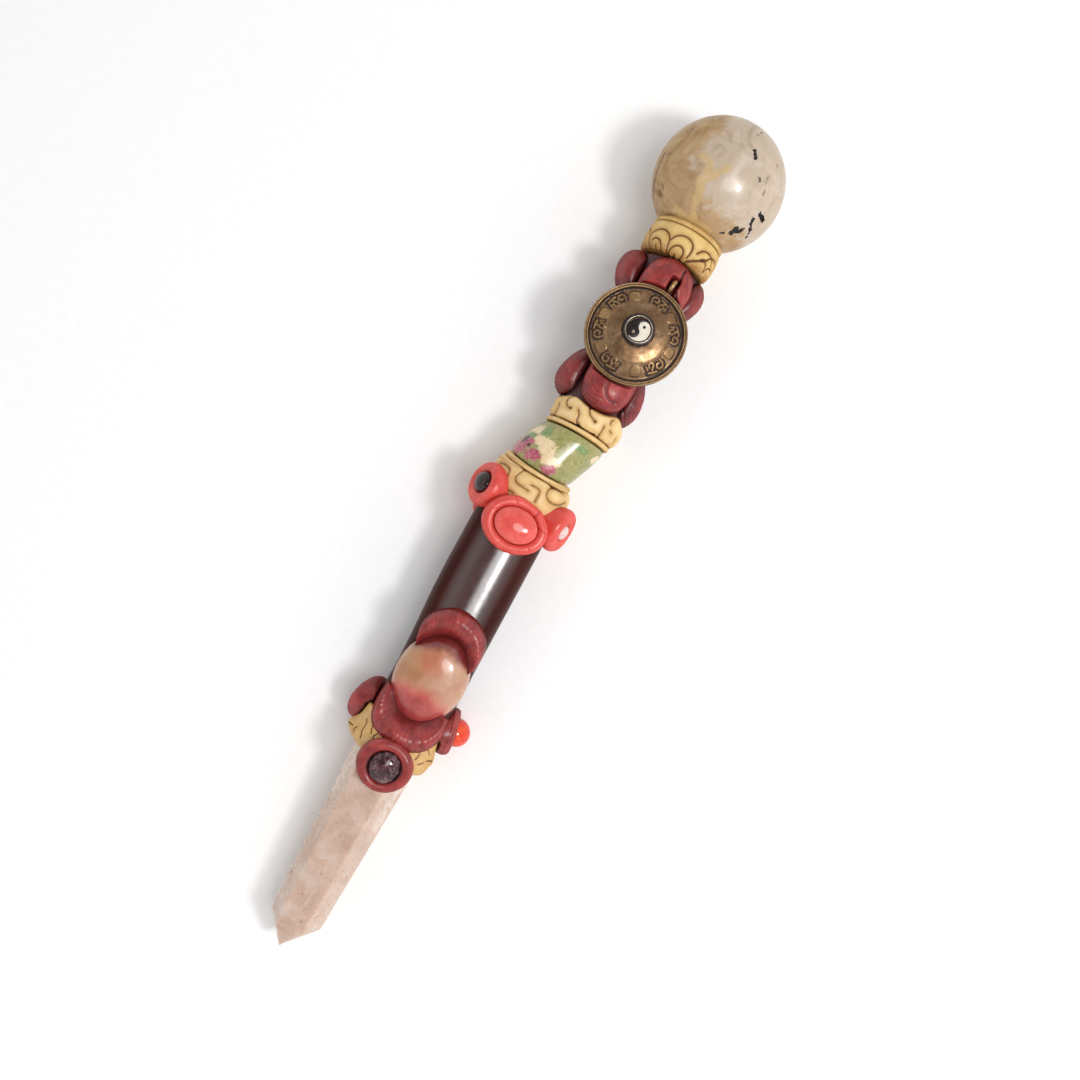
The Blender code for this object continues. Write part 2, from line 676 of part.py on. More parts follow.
def lay_on_table(wand):
    """Slope the wand until the sphere and the side bezels touch, then centre it on the origin."""
    feet = world_points(bpy.data.objects["tip_bezel_left"])
    feet += world_points(bpy.data.objects["tip_bezel_right"])
    slope = 0.0
    for _ in range(4):
        foot = min(feet, key=lambda p: p.x * math.sin(slope) + p.z * math.cos(slope))
        reach = SPHERE_STATION * MM - foot.x
        drop = -foot.z
        slope = math.asin(SPHERE_R * MM / math.hypot(reach, drop)) - math.atan2(drop, reach)
    wand.rotation_euler.y = -slope
    bpy.context.view_layer.update()
    points = []
    for obj in bpy.context.scene.objects:
        if obj.type == "MESH" and not obj.hide_render:
            points += world_points(obj)
    low = Vector([min(point[i] for point in points) for i in range(3)])
    high = Vector([max(point[i] for point in points) for i in range(3)])
    wand.location = Vector((-(low.x + high.x) / 2, -(low.y + high.y) / 2, -low.z))


def build_wand():
    clear_scene()
    wand = bpy.data.objects.new("wand", None)
    bpy.context.scene.collection.objects.link(wand)

    bore_start = (ROD_START[0] - GAP, ROD_START[1])
    bore_end = (ROD_END[0] + GAP, ROD_END[1])
    bore_bm = rod_bm(ROD_R + GAP, bore_start, bore_end)
    bore = as_cutter(add_object("core_bore", bore_bm, "core_steel"))
    lower_collar_space = space_around("lower_collar_space", LOWER_COLLAR)

    handle_space, collar_space = build_quartz_end()
    build_handle(handle_space, collar_space, bore)
    build_coral_ring(handle_space, lower_collar_space)
    build_stack(bore)
    build_petals()
    build_medallion()
    build_pommel(bore)
    bpy.context.view_layer.update()
    lay_on_table(wand)


build_wand()
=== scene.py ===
"""Looks of a handmade crystal wand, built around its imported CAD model.

Shapes are drawn in the wand's own frame, in millimetres: X is the station, the distance
from the quartz tip along the wand, +Y is the wand's left side and +Z its front, where the
medallion and the cabochons are. Angles around the wand count from the front, positive
towards the left. Marks on the front are given as they are seen from the camera, on the
plane through the wand's axis, and are carried onto the surface below them.
"""
import itertools
import math
from collections import namedtuple

import bmesh
import bpy
import numpy as np
from mathutils import Matrix, Vector


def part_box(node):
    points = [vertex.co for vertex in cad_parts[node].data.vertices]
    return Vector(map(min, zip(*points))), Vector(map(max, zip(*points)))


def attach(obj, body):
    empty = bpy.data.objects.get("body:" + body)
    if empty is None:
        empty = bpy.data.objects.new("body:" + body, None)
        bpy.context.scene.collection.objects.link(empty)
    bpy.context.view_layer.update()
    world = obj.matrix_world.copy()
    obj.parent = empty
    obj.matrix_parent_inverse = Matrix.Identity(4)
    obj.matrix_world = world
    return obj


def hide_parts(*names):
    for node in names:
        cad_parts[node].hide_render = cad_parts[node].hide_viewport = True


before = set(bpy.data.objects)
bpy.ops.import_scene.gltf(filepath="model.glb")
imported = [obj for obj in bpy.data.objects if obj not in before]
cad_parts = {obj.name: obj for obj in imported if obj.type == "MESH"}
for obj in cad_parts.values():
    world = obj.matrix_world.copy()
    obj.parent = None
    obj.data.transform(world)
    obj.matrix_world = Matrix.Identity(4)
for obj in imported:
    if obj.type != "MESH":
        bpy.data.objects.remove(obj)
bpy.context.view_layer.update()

MM = 0.001
TABLE_Z = 0.0

# The core rod, with the (station, side) of its ends, and the bore of what is threaded on it.
ROD_R = 3.0
BORE_R = 3.3
ROD_START = (120.0, 3.1)
ROD_END = (240.8, -0.2)

# The pommel sphere and the medallion's rim, the two pieces that the wand's frame is found from.
BALL_S, CUP_Y, BALL_R = 262.8, 0.1, 19.8
BALL_CENTRE = Vector((BALL_S, CUP_Y, 0.0))
RIM_CENTRE = Vector((208.9, -0.7, 12.15))

# The camera over the wand, the middle and width of its view, and the wand's slant in it.
EYE_STATION = 130.0
EYE_HEIGHT = 350.0
VIEW_CENTRE = (144.0, -6.4)
VIEW_WIDTH = 324.0
WAND_SLANT = math.radians(60.2)
LIGHT_REACH = 0.9


# ---------------------------------------------------------------- placing

def box_centre(node):
    low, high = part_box(node)
    return (low + high) / 2


def find_wand():
    """Matrix from the wand's own frame, in metres, to the row frame."""
    ball = box_centre("pommel_sphere")
    run = ball - box_centre("medallion_rim")
    drawn = BALL_CENTRE - RIM_CENTRE
    slope = math.atan2(run.z, run.x) - math.atan2(drawn.z, drawn.x)
    turn = Matrix.Rotation(-slope, 4, "Y")
    return Matrix.Translation(ball - turn @ (BALL_CENTRE * MM)) @ turn


WAND = find_wand()


def under_eye(station, side, height):
    """Station and side of a point at a height that is seen at (station, side)."""
    scale = (EYE_HEIGHT - height) / EYE_HEIGHT
    return EYE_STATION + (station - EYE_STATION) * scale, side * scale


def on_round(marks, axis_y, radius):
    """Seen marks carried onto a round piece: (arc length from the front, station)."""
    chart = []
    for station, side in marks:
        height = 0.8 * radius
        for _ in range(6):
            b, y = under_eye(station, side, height)
            y = max(-radius, min(radius, y - axis_y))
            height = math.sqrt(radius * radius - y * y)
        chart.append((radius * math.asin(y / radius), b))
    return chart


# ---------------------------------------------------------------- numbers

def noise(points, size, seed=0):
    """Smooth value noise from -1 to 1 with features of the given size in millimetres."""
    q = np.asarray(points) / size + 31.7 * seed
    cell = np.floor(q).astype(np.int64)
    f = q - cell
    f = f * f * (3.0 - 2.0 * f)
    total = np.zeros(q.shape[:-1])
    for corner in itertools.product((0, 1), repeat=3):
        c = cell + np.array(corner)
        h = (c[..., 0] * 374761393 + c[..., 1] * 668265263 + c[..., 2] * 974634777) & 0xFFFFFFFF
        h = ((h ^ (h >> 13)) * 1274126177) & 0xFFFFFFFF
        h = (h ^ (h >> 16)) / 4294967295.0
        w = np.ones(q.shape[:-1])
        for axis, side in enumerate(corner):
            w = w * (f[..., axis] if side else 1.0 - f[..., axis])
        total += w * h
    return 2.0 * total - 1.0


def smooth_line(marks, step):
    """Points of a smooth curve through the marks, about a step apart."""
    p = np.asarray(marks, float)
    p = np.vstack([2 * p[0] - p[1], p, 2 * p[-1] - p[-2]])
    out = []
    for a, b, c, d in zip(p, p[1:], p[2:], p[3:]):
        count = max(2, int(np.linalg.norm(c - b) / step))
        t = np.arange(count)[:, None] / count
        out.append(0.5 * (2 * b + (c - a) * t + (2 * a - 5 * b + 4 * c - d) * t ** 2
                          + (3 * b - a - 3 * c + d) * t ** 3))
    out.append(p[-2][None])
    return np.vstack(out)


def distance(a, b, lines):
    """Distance of chart points (a, b) from the nearest of some lines."""
    best = np.full(np.shape(a), 1e9)
    for line in lines:
        for (a0, b0), (a1, b1) in zip(line, line[1:]):
            da, db = a1 - a0, b1 - b0
            t = np.clip(((a - a0) * da + (b - b0) * db) / max(da * da + db * db, 1e-9), 0, 1)
            best = np.minimum(best, (a - a0 - t * da) ** 2 + (b - b0 - t * db) ** 2)
    return np.sqrt(best)


def bell(x, width):
    """1 at zero, falling to nearly 0 at twice the width."""
    return np.exp(-(x / width) ** 2)


def step_up(x, low, high):
    """Smooth step from 0 at low to 1 at high."""
    t = np.clip((x - low) / (high - low), 0.0, 1.0)
    return t * t * (3 - 2 * t)


def angle_gap(degrees, middle):
    """Signed angle in degrees from a middle, within half a turn."""
    return (degrees - middle + 180.0) % 360.0 - 180.0


def full_turn(count):
    """Angles once around, in one row."""
    return np.linspace(-np.pi, np.pi, count, endpoint=False)[None, :]


def columns(rows):
    """The columns of a table, each standing as a column."""
    return np.asarray(rows, float).T[:, :, None]


def soften(rows, times, keep=1):
    """Averages rows with their neighbours, apart from the outermost ones."""
    for _ in range(times):
        rows[keep:-keep] = (0.25 * rows[keep - 1:-keep - 1] + 0.5 * rows[keep:-keep]
                            + 0.25 * rows[keep + 1:len(rows) - keep + 1])
    return rows


def resample(rows, step, softening=0):
    """Rows along a polyline, evenly spaced, with its corners rounded by the softening."""
    rows = np.asarray(rows, float)
    length = np.concatenate([[0], np.cumsum(np.linalg.norm(np.diff(rows, axis=0), axis=1))])
    count = max(3, int(length[-1] / step) + 1)
    at = np.linspace(0, length[-1], count)
    return soften(np.stack([np.interp(at, length, column) for column in rows.T], 1), softening)


# ---------------------------------------------------------------- skins

def normals(rings):
    """Outward unit normals of a grid of rings that close on themselves."""
    along = np.gradient(rings, axis=0)
    sideways = np.roll(rings, -1, 1) - np.roll(rings, 1, 1)
    n = np.cross(sideways, along)
    n /= np.maximum(np.linalg.norm(n, axis=2, keepdims=True), 1e-9)
    outward = rings - rings.mean((0, 1))
    return n if (n * outward).sum() > 0 else -n


def lathe(station, axis_y, radius, angle):
    """Rings around an axis along the wand."""
    parts = (station, axis_y + radius * np.sin(angle), radius * np.cos(angle))
    return np.stack(np.broadcast_arrays(*parts), 2)


def swell(rings, amount):
    """Rings pushed outwards by an amount in millimetres."""
    return rings + normals(rings) * amount[..., None]


def skin_quads(count, width, closed):
    """Quads of a tube of rings, the last ring joined to the first where the tube is closed."""
    rows = np.arange(count if closed else count - 1)[:, None]
    i, following = rows * width, ((rows + 1) % count) * width
    j = np.arange(width)[None, :]
    k = (j + 1) % width
    return np.stack([i + j, i + k, following + k, following + j], -1).reshape(-1, 4)


def skin_fans(count, width):
    """Triangles that close a tube's two ends, round two extra points."""
    first, last = count * width, count * width + 1
    top = (count - 1) * width
    fans = [(first, int((n + 1) % width), n) for n in range(width)]
    fans += [(last, top + n, top + int((n + 1) % width)) for n in range(width)]
    return fans


def volume_sign(points, quads):
    a, b, c, d = (points[quads[:, n]] for n in range(4))
    return (np.cross(b - a, c - a) * a).sum() + (np.cross(c - a, d - a) * a).sum()


def rest_on_table(obj):
    """Lifts any points below the table onto it."""
    to_world = obj.matrix_world.copy()
    back = to_world.inverted()
    for vertex in obj.data.vertices:
        spot = to_world @ vertex.co
        if spot.z < TABLE_Z:
            spot.z = TABLE_Z
            vertex.co = back @ spot


def put(name, data):
    """New object in the scene with the data."""
    obj = bpy.data.objects.new(name, data)
    bpy.context.scene.collection.objects.link(obj)
    return obj


def make_object(name, points, faces, values, place):
    mesh = bpy.data.meshes.new(name + "_visual")
    mesh.from_pydata((np.asarray(points) * MM).tolist(), [], faces)
    for key, value in values.items():
        layer = mesh.attributes.new(key, "FLOAT", "POINT")
        layer.data.foreach_set("value", np.asarray(value, np.float32))
    mesh.shade_smooth()
    obj = put(name + "_visual", mesh)
    obj.matrix_world = WAND if place is None else WAND @ place
    rest_on_table(obj)
    return obj


def skin(name, rings, values, place, closed):
    """Solid through rings, an array of (ring, point, xyz) in millimetres.

    Its ends are filled, or with closed its last ring is joined to the first.
    """
    count, width = rings.shape[:2]
    points = rings.reshape(-1, 3)
    quads = skin_quads(count, width, closed)
    faces = quads.tolist()
    if not closed:
        points = np.vstack([points, rings[0].mean(0), rings[-1].mean(0)])
        faces += [list(f) for f in skin_fans(count, width)]
    if volume_sign(points, quads) < 0:
        faces = [f[::-1] for f in faces]
    flat = {}
    for key, value in values.items():
        value = np.broadcast_to(value, (count, width))
        flat[key] = value.ravel()
        if not closed:
            flat[key] = np.concatenate([flat[key], [value[0].mean(), value[-1].mean()]])
    return make_object(name, points, faces, flat, place)


def finish(obj, look):
    """Last step of every piece: its look, its body and the CAD node that it stands for.

    A look is a material with the name of its slot.
    """
    material, slot = look
    obj.data.materials.append(material)
    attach(obj, "root")
    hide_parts(obj.name.removesuffix("_visual"))


def piece(name, rings, fields, look, place=None, closed=False):
    finish(skin(name, rings, fields, place, closed), look)


def clay_piece(name, rings, groove, shade, look, place=None, closed=True):
    """Piece of clay with a darker groove field and a wider shade field, both holding antiquing in carved
    lines and painted shade at joints and in gaps.
    """
    piece(name, rings, {"groove": groove, "shade": shade}, look, place, closed)


# ---------------------------------------------------------------- shading

def rgb(*bytes_):
    """Linear colour of an sRGB one given in bytes."""
    out = []
    for b in bytes_:
        c = b / 255
        out.append(c / 12.92 if c <= 0.04045 else ((c + 0.055) / 1.055) ** 2.4)
    return (*out, 1.0)


class Paint:
    """A Principled material and short ways to add nodes to it."""

    def __init__(self, name, **settings):
        self.material = bpy.data.materials.new(name)
        self.material.use_nodes = True
        self.tree = self.material.node_tree
        self.shader = self.tree.nodes["Principled BSDF"]
        for key, value in settings.items():
            self.shader.inputs[key.replace("_", " ")].default_value = value
        self.place = self.add("ShaderNodeTexCoord").outputs["Object"]

    def add(self, kind, inputs=None, **settings):
        node = self.tree.nodes.new(kind)
        for key, value in settings.items():
            setattr(node, key, value)
        for key, value in (inputs or {}).items():
            if isinstance(value, bpy.types.NodeSocket):
                self.tree.links.new(value, node.inputs[key])
            else:
                node.inputs[key].default_value = value
        return node

    def link(self, socket, key):
        self.tree.links.new(socket, self.shader.inputs[key])

    def stretched(self, scale):
        return self.add("ShaderNodeMapping", {"Vector": self.place, "Scale": scale}).outputs[0]

    def warped(self, size, amount):
        """Place pushed about by noise of a size, by up to an amount, both in millimetres."""
        noise = self.add("ShaderNodeTexNoise", {"Vector": self.place, "Scale": 1000.0 / size})
        inputs = {0: noise.outputs["Color"], 1: (amount * MM,) * 3, 2: self.place}
        return self.add("ShaderNodeVectorMath", inputs, operation="MULTIPLY_ADD").outputs[0]

    def noise(self, size, detail, rough=0.55, warp=0.0, vector=None):
        """Noise with features of a size in millimetres, from 0 to 1."""
        inputs = {"Vector": vector or self.place, "Scale": 1000.0 / size, "Detail": detail,
                  "Roughness": rough, "Distortion": warp}
        return self.add("ShaderNodeTexNoise", inputs).outputs["Fac"]

    def seams(self, size, vector):
        """Distance from the nearest seam between cells of a size in millimetres."""
        node = self.add("ShaderNodeTexVoronoi", {"Vector": vector, "Scale": 1000.0 / size},
                        feature="DISTANCE_TO_EDGE")
        return node.outputs["Distance"]

    def value(self, name):
        return self.add("ShaderNodeAttribute", attribute_name=name).outputs["Fac"]

    def remap(self, value, low, high, to_low=0.0, to_high=1.0):
        inputs = {"Value": value, "From Min": low, "From Max": high, "To Min": to_low, "To Max": to_high}
        return self.add("ShaderNodeMapRange", inputs, interpolation_type="SMOOTHSTEP").outputs["Result"]

    def spots(self, colour, tone, where, low, high, amount):
        """A colour with a tone over it, by an amount, where a value is between low and high."""
        return self.mix(self.remap(where, low, high, 0.0, amount), colour, tone)

    def math(self, kind, a, b):
        return self.add("ShaderNodeMath", {0: a, 1: b}, operation=kind).outputs[0]

    def plus(self, a, b):
        return self.math("ADD", a, b)

    def times(self, a, b):
        return self.math("MULTIPLY", a, b)

    def ramp(self, value, *stops):
        node = self.add("ShaderNodeValToRGB", {"Fac": value})
        elements = node.color_ramp.elements
        elements.remove(elements[1])
        elements[0].position, elements[0].color = stops[0]
        for position, colour in stops[1:]:
            elements.new(position).color = colour
        return node.outputs["Color"]

    def mix(self, share, a, b):
        return self.add("ShaderNodeMix", {0: share, 6: a, 7: b}, data_type="RGBA").outputs[2]

    def gloss(self, level, edge, start, end):
        """Specular level seen face on, and the lower one at a glancing angle."""
        facing = self.add("ShaderNodeLayerWeight", {"Blend": 0.5}).outputs["Facing"]
        self.link(self.remap(facing, start, end, level, edge), "Specular IOR Level")

    def bumps(self, *layers):
        """Stacked bumps: (height socket, depth in millimetres, strength) each."""
        normal = None
        for height, depth, strength in layers:
            inputs = {"Height": height, "Distance": depth * MM, "Strength": strength}
            if normal is not None:
                inputs["Normal"] = normal
            normal = self.add("ShaderNodeBump", inputs).outputs["Normal"]
        self.link(normal, "Normal")


# ---------------------------------------------------------------- finishes

def clay(name, slot, light, deep, groove, wash_and_shade_tone, roughness, mottle, subsurface=0.06):
    """Look of baked clay: mottled, with handling marks, a deep tone over its groove field and a wash tone
    over its shade field; these hold antiquing in carved lines and painted shade at joints, in gaps and
    creases and under other pieces.
    """
    p = Paint(name, Subsurface_Weight=subsurface, Subsurface_Scale=0.002, Subsurface_Radius=(1.0, 0.45, 0.25))
    p.gloss(0.5, 0.04, 0.30, 0.75)
    patches = p.remap(p.noise(mottle, 4.0, 0.6, 0.4), 0.35, 0.65)
    colour = p.mix(patches, light, deep)
    specks = p.remap(p.noise(0.5, 2.0), 0.58, 0.78)
    colour = p.mix(p.times(specks, 0.35), colour, deep)
    # The wash tone: antiquing round carved lines, and painted shade where pieces meet, in gaps and on sides
    # turned from the light.
    shade = p.times(p.value("shade"), p.remap(p.noise(1.6, 3.0), 0.2, 0.7, 0.55, 1.0))
    colour = p.mix(shade, colour, wash_and_shade_tone)
    # The deep groove tone: antiquing in carved lines, and painted shade in gaps, at joints and round the
    # stones.
    grain = p.remap(p.noise(0.35, 2.0), 0.2, 0.8, -0.18, 0.18)
    line = p.plus(p.value("groove"), p.times(grain, p.value("groove")))
    colour = p.mix(p.remap(line, 0.25, 0.8), colour, groove)
    p.link(colour, "Base Color")
    rough = p.remap(p.noise(1.1, 4.0, 0.65), 0.3, 0.7, *roughness)
    p.link(p.math("MAXIMUM", rough, p.remap(p.value("groove"), 0.3, 0.9, 0.0, 0.75)), "Roughness")
    scratches = p.noise(0.5, 3.0, 0.6, 0.3, p.stretched((0.25, 1.0, 1.0)))
    p.bumps((p.noise(2.6, 3.0), 0.10, 0.35), (scratches, 0.035, 0.30), (p.noise(0.28, 2.0), 0.02, 0.35))
    return p.material, slot


def polished(slot, colours, size, roughness, **settings):
    """Look of polished stone with cloudy veins through a ramp of colours."""
    p = Paint(slot, Roughness=roughness, Specular_IOR_Level=0.55, **settings)
    cloud = p.noise(size, 6.0, 0.6, 0.8)
    stops = [(0.3 + 0.4 * i / (len(colours) - 1), c) for i, c in enumerate(colours)]
    p.link(p.ramp(cloud, *stops), "Base Color")
    p.bumps((p.noise(1.5, 3.0), 0.01, 0.15))
    return p.material, slot


# Each clay's last two colours are its groove tone and its wash tone: antiquing and painted shade on the cream
# clays, painted shade only on the maroon and coral clays.
CREAM = clay("cream_clay", "cream_clay", rgb(231, 202, 145), rgb(219, 184, 122), rgb(84, 50, 22),
             rgb(190, 140, 76), (0.36, 0.52), 6.0)
CUP = clay("cup_clay", "cream_clay", rgb(222, 190, 122), rgb(204, 166, 98), rgb(88, 54, 24),
           rgb(164, 114, 56), (0.36, 0.52), 5.0)
MAROON = clay("maroon_clay", "maroon_clay", rgb(160, 57, 53), rgb(126, 38, 37), rgb(46, 13, 14),
              rgb(92, 26, 26), (0.26, 0.42), 4.0, 0.03)
CORAL = clay("coral_clay", "coral_clay", rgb(222, 88, 78), rgb(208, 68, 60), rgb(142, 34, 32),
             rgb(192, 54, 48), (0.27, 0.40), 5.0, 0.08)


# ---------------------------------------------------------------- round pieces

def rod_y(station):
    """Lateral offset of the core rod at a station."""
    (start, y), (end, end_y) = ROD_START, ROD_END
    return y + (end_y - y) * (station - start) / (end - start)


def round_rings(sections, step, around, softening=4, bored=True):
    """Rings of a stacked piece from (station, lateral offset, yaw in degrees, radius) rows.

    The rows run along the outside, and bored adds two that go back through the rod's bore.
    """
    ends = (sections[-1][0], sections[0][0]) if bored else ()
    bore = [(end, rod_y(end), 0.0, BORE_R) for end in ends]
    rows = resample([*sections, *bore], step, softening)
    angle = full_turn(around)
    s, c, yaw, r = columns(rows)
    yaw = np.radians(yaw)
    side = r * np.sin(angle)
    rings = np.stack([s - side * np.sin(yaw), c + side * np.cos(yaw),
                      r * np.cos(angle) + 0 * s], 2)
    return rings, np.broadcast_to(angle, rings.shape[:2])


def wrapped(seen, axis_y, radius):
    """Smooth lines through seen marks, carried onto a round piece."""
    return [on_round(smooth_line(marks, 0.4), axis_y, radius) for marks in seen]


def carve(rings, chart, lines, depth, width):
    """Grooves pressed into clay along lines: new rings, the groove mask and a wider mask round it for the
    antiquing wash and painted shade.
    """
    away = distance(*chart, lines)
    mask = bell(away, width)
    puff = 0.16 * (1.0 - bell(away, 4.0 * width)) - depth * mask
    return swell(rings, puff), mask, bell(away, 3.2 * width)


def handmade(rings, coarse, fine, seed):
    """Slight unevenness of a surface shaped by hand."""
    return swell(rings, coarse * noise(rings, 6.0, seed) + fine * noise(rings, 1.7, seed + 1))


def turned_about(lines, turn):
    return [[(a + turn, b) for a, b in line] for line in lines]


def flipped(lines):
    return [[(-a, b) for a, b in line] for line in lines]


def joint_shift(angle):
    """How far the joint under the bead is bent from its plane."""
    front = np.cos(angle)
    return 0.6 - 0.65 * np.sin(angle) - np.where(front > 0, 1.9, 0.5) * front


def build_lower_collar():
    sections = [(150.3, 3.8, 0.0, 10.4), (150.3, 3.8, 0.0, 11.8), (152.0, 3.9, -1.0, 12.5),
                (156.0, 4.1, -3.5, 12.7), (158.6, 4.2, -5.0, 12.3), (159.7, 4.3, -6.0, 11.7),
                (160.0, 4.3, -6.0, 11.2), (160.0, 4.3, -6.0, 9.6)]
    rings, angle = round_rings(sections, 0.18, 380)
    rings[..., 0] += joint_shift(angle) * step_up(rings[..., 0], 152.5, 159.5)
    radius = 12.4
    seen = [
        [(154.3, 11.9), (156.0, 11.8), (157.6, 12.0), (158.3, 13.0), (158.5, 14.5), (158.1, 15.6)],
        [(155.0, 4.2), (155.1, 6.0), (155.3, 8.0), (156.0, 9.1), (157.3, 9.4), (158.8, 8.9), (159.7, 8.5)],
        [(153.0, 0.9), (154.5, 0.9), (155.8, 0.8), (156.9, 1.2), (157.2, 2.5), (157.1, 4.0)],
        [(157.4, -7.6), (156.0, -6.4), (155.3, -4.8), (155.3, -3.0), (156.2, -1.7), (157.6, -1.3),
         (159.0, -1.8), (159.7, -3.2), (159.9, -5.0), (159.7, -6.6)],
        [(151.9, 10.4), (152.2, 9.2), (152.1, 8.0)],
    ]
    lines = wrapped(seen, 4.1, radius)
    back = turned_about(flipped(lines[:4]), math.pi * radius - 4.0)
    back += turned_about(lines[1:3], 0.62 * math.pi * radius)
    back += turned_about(flipped(lines[1:3]), -0.66 * math.pi * radius)
    back += turned_about(back, -2 * math.pi * radius)
    chart = (angle * radius, rings[..., 0])
    rings = handmade(rings, 0.14, 0.03, 3)
    rings, groove, shade = carve(rings, chart, lines + back, 0.46, 0.36)
    # Painted shade along the collar's edge where it meets the band.
    rim = bell(rings[..., 0] - 160.0 - joint_shift(angle), 0.5)
    clay_piece("lower_collar", rings, 0.62 * groove, 0.8 * np.maximum(shade, rim), CREAM)


def build_band(name, sections, around, seed, bend, edges, depth):
    """Thin clay band between a collar and the bead, bent with their joint or not."""
    rings, angle = round_rings(sections, 0.16, around, 6)
    shift = bend * joint_shift(angle)
    rings[..., 0] += shift
    rings = handmade(rings, 0.12, 0.03, seed)
    # Painted shade along both edges, where the band meets its neighbours, and a little over the whole band.
    edge = sum(bell(rings[..., 0] - shift - station, width) for station, width in edges)
    clay_piece(name, rings, depth * edge, 0.6 * edge + 0.15, CREAM)


def build_lower_band():
    sections = [(160.3, 4.3, -6.0, 9.6), (160.3, 4.3, -6.0, 10.8), (160.7, 4.32, -6.2, 11.35),
                (161.5, 4.36, -6.3, 11.35), (161.9, 4.4, -6.3, 10.7), (161.9, 4.4, -6.3, 9.3)]
    build_band("lower_collar_band", sections, 300, 5, 1.0, ((161.9, 0.35), (160.3, 0.3)), 0.4)


def build_upper_band():
    sections = [(176.2, -0.25, 0.0, 8.5), (176.2, -0.25, 0.0, 9.9), (176.6, -0.35, 0.0, 10.45),
                (177.4, -0.45, 0.0, 10.45), (177.8, -0.5, 0.0, 10.0), (177.8, -0.5, 0.0, 8.6)]
    build_band("upper_collar_band", sections, 280, 11, 0.0, ((176.2, 0.35), (177.8, 0.25)), 0.5)


BEAD_COLOURS = ("cream", "green", "magenta", "dark")


def bead_look():
    """Look of mottled green stone with ragged patches of other colours."""
    p = Paint("bead_stone", Roughness=0.24, Specular_IOR_Level=0.6, Coat_Weight=0.2, Coat_Roughness=0.15)
    swirl = p.noise(2.4, 5.0, 0.62, 1.2)
    fine = p.remap(p.noise(0.8, 4.0, 0.6), 0.3, 0.7)
    colour = p.ramp(swirl, (0.30, rgb(118, 122, 66)), (0.46, rgb(144, 142, 84)), (0.58, rgb(160, 152, 94)),
                    (0.72, rgb(178, 166, 122)))
    ragged = p.remap(p.noise(1.3, 4.0, 0.65, 0.6), 0.2, 0.8, -0.28, 0.28)
    tones = ((rgb(232, 212, 176), rgb(220, 192, 146)), (rgb(104, 134, 84), rgb(128, 148, 92)),
             (rgb(150, 50, 76), rgb(190, 104, 120)), (rgb(48, 34, 30), rgb(92, 44, 48)))
    for field, pair in zip(BEAD_COLOURS, tones):
        share = p.remap(p.plus(p.value(field), ragged), 0.34, 0.60)
        colour = p.mix(share, colour, p.mix(fine, *pair))
    veins = p.remap(p.seams(3.2, p.warped(3.0, 1.5)), 0.0, 0.06, 0.14, 0.0)
    colour = p.mix(veins, colour, rgb(214, 204, 170))
    p.link(colour, "Base Color")
    p.bumps((p.noise(2.0, 3.0), 0.02, 0.2))
    return p.material, "bead_stone"


def build_bead():
    sections = [(162.2, 4.4, -6.3, 8.6), (162.2, 4.4, -6.3, 10.0), (163.4, 4.25, -6.0, 10.4),
                (166.5, 3.4, -5.0, 10.7), (170.0, 2.2, -3.5, 10.7), (173.5, 0.95, -1.5, 10.5),
                (175.2, 0.15, -0.5, 10.2), (175.9, -0.15, 0.0, 9.8), (175.9, -0.15, 0.0, 8.5)]
    rings, angle = round_rings(sections, 0.3, 220, 6)
    rings[..., 0] += joint_shift(angle) * (1 - step_up(rings[..., 0], 163.0, 172.0))
    s, side = rings[..., 0], np.degrees(angle)

    def patch(*spots):
        field = np.zeros(s.shape)
        for station, middle, long_, wide in spots:
            gap = angle_gap(side, middle)
            field = np.maximum(field, np.exp(-((s - station) / long_) ** 2 - (gap / wide) ** 2))
        return field

    magenta = patch((164.8, 62, 3.0, 26), (164.0, 24, 2.2, 16), (162.6, -12, 1.7, 13), (167.4, 46, 1.6, 12),
                    (172.0, 150, 2.6, 20), (166.0, -140, 2.2, 18), (164.0, 178, 1.5, 16))
    cream = patch((169.0, 28, 1.9, 26), (165.0, -6, 2.0, 20), (171.5, 55, 2.0, 14), (167.0, 10, 1.9, 16),
                  (170.0, -120, 2.6, 26), (168.0, 120, 2.8, 30), (172.6, -68, 1.5, 12))
    green = patch((172.2, 36, 1.7, 11), (169.2, 52, 1.5, 12), (172.5, -30, 1.2, 14), (166.0, 100, 2.0, 16),
                  (171.0, -160, 2.2, 18))
    dark = patch((167.6, 60, 1.7, 7), (166.4, 42, 0.8, 5), (168.8, 150, 1.4, 8), (167.0, -100, 1.2, 8))
    rings = swell(rings, 0.05 * noise(rings, 5.0, 9))
    fields = dict(zip(BEAD_COLOURS, (cream, green, magenta, dark)))
    piece("stone_bead", rings, fields, bead_look(), closed=True)


def upper_edge(angle):
    """Station of the wavy edge that the upper collar turns up against the petals."""
    degrees = np.degrees(angle)
    edge = 184.1 + 0 * degrees
    waves = ((-46, 20, 2.0), (38, 20, 1.4), (118, 24, 1.6), (-140, 26, 1.5), (180, 14, 0.6))
    for middle, width, height in waves:
        edge = edge + height * bell(angle_gap(degrees, middle), width)
    return edge


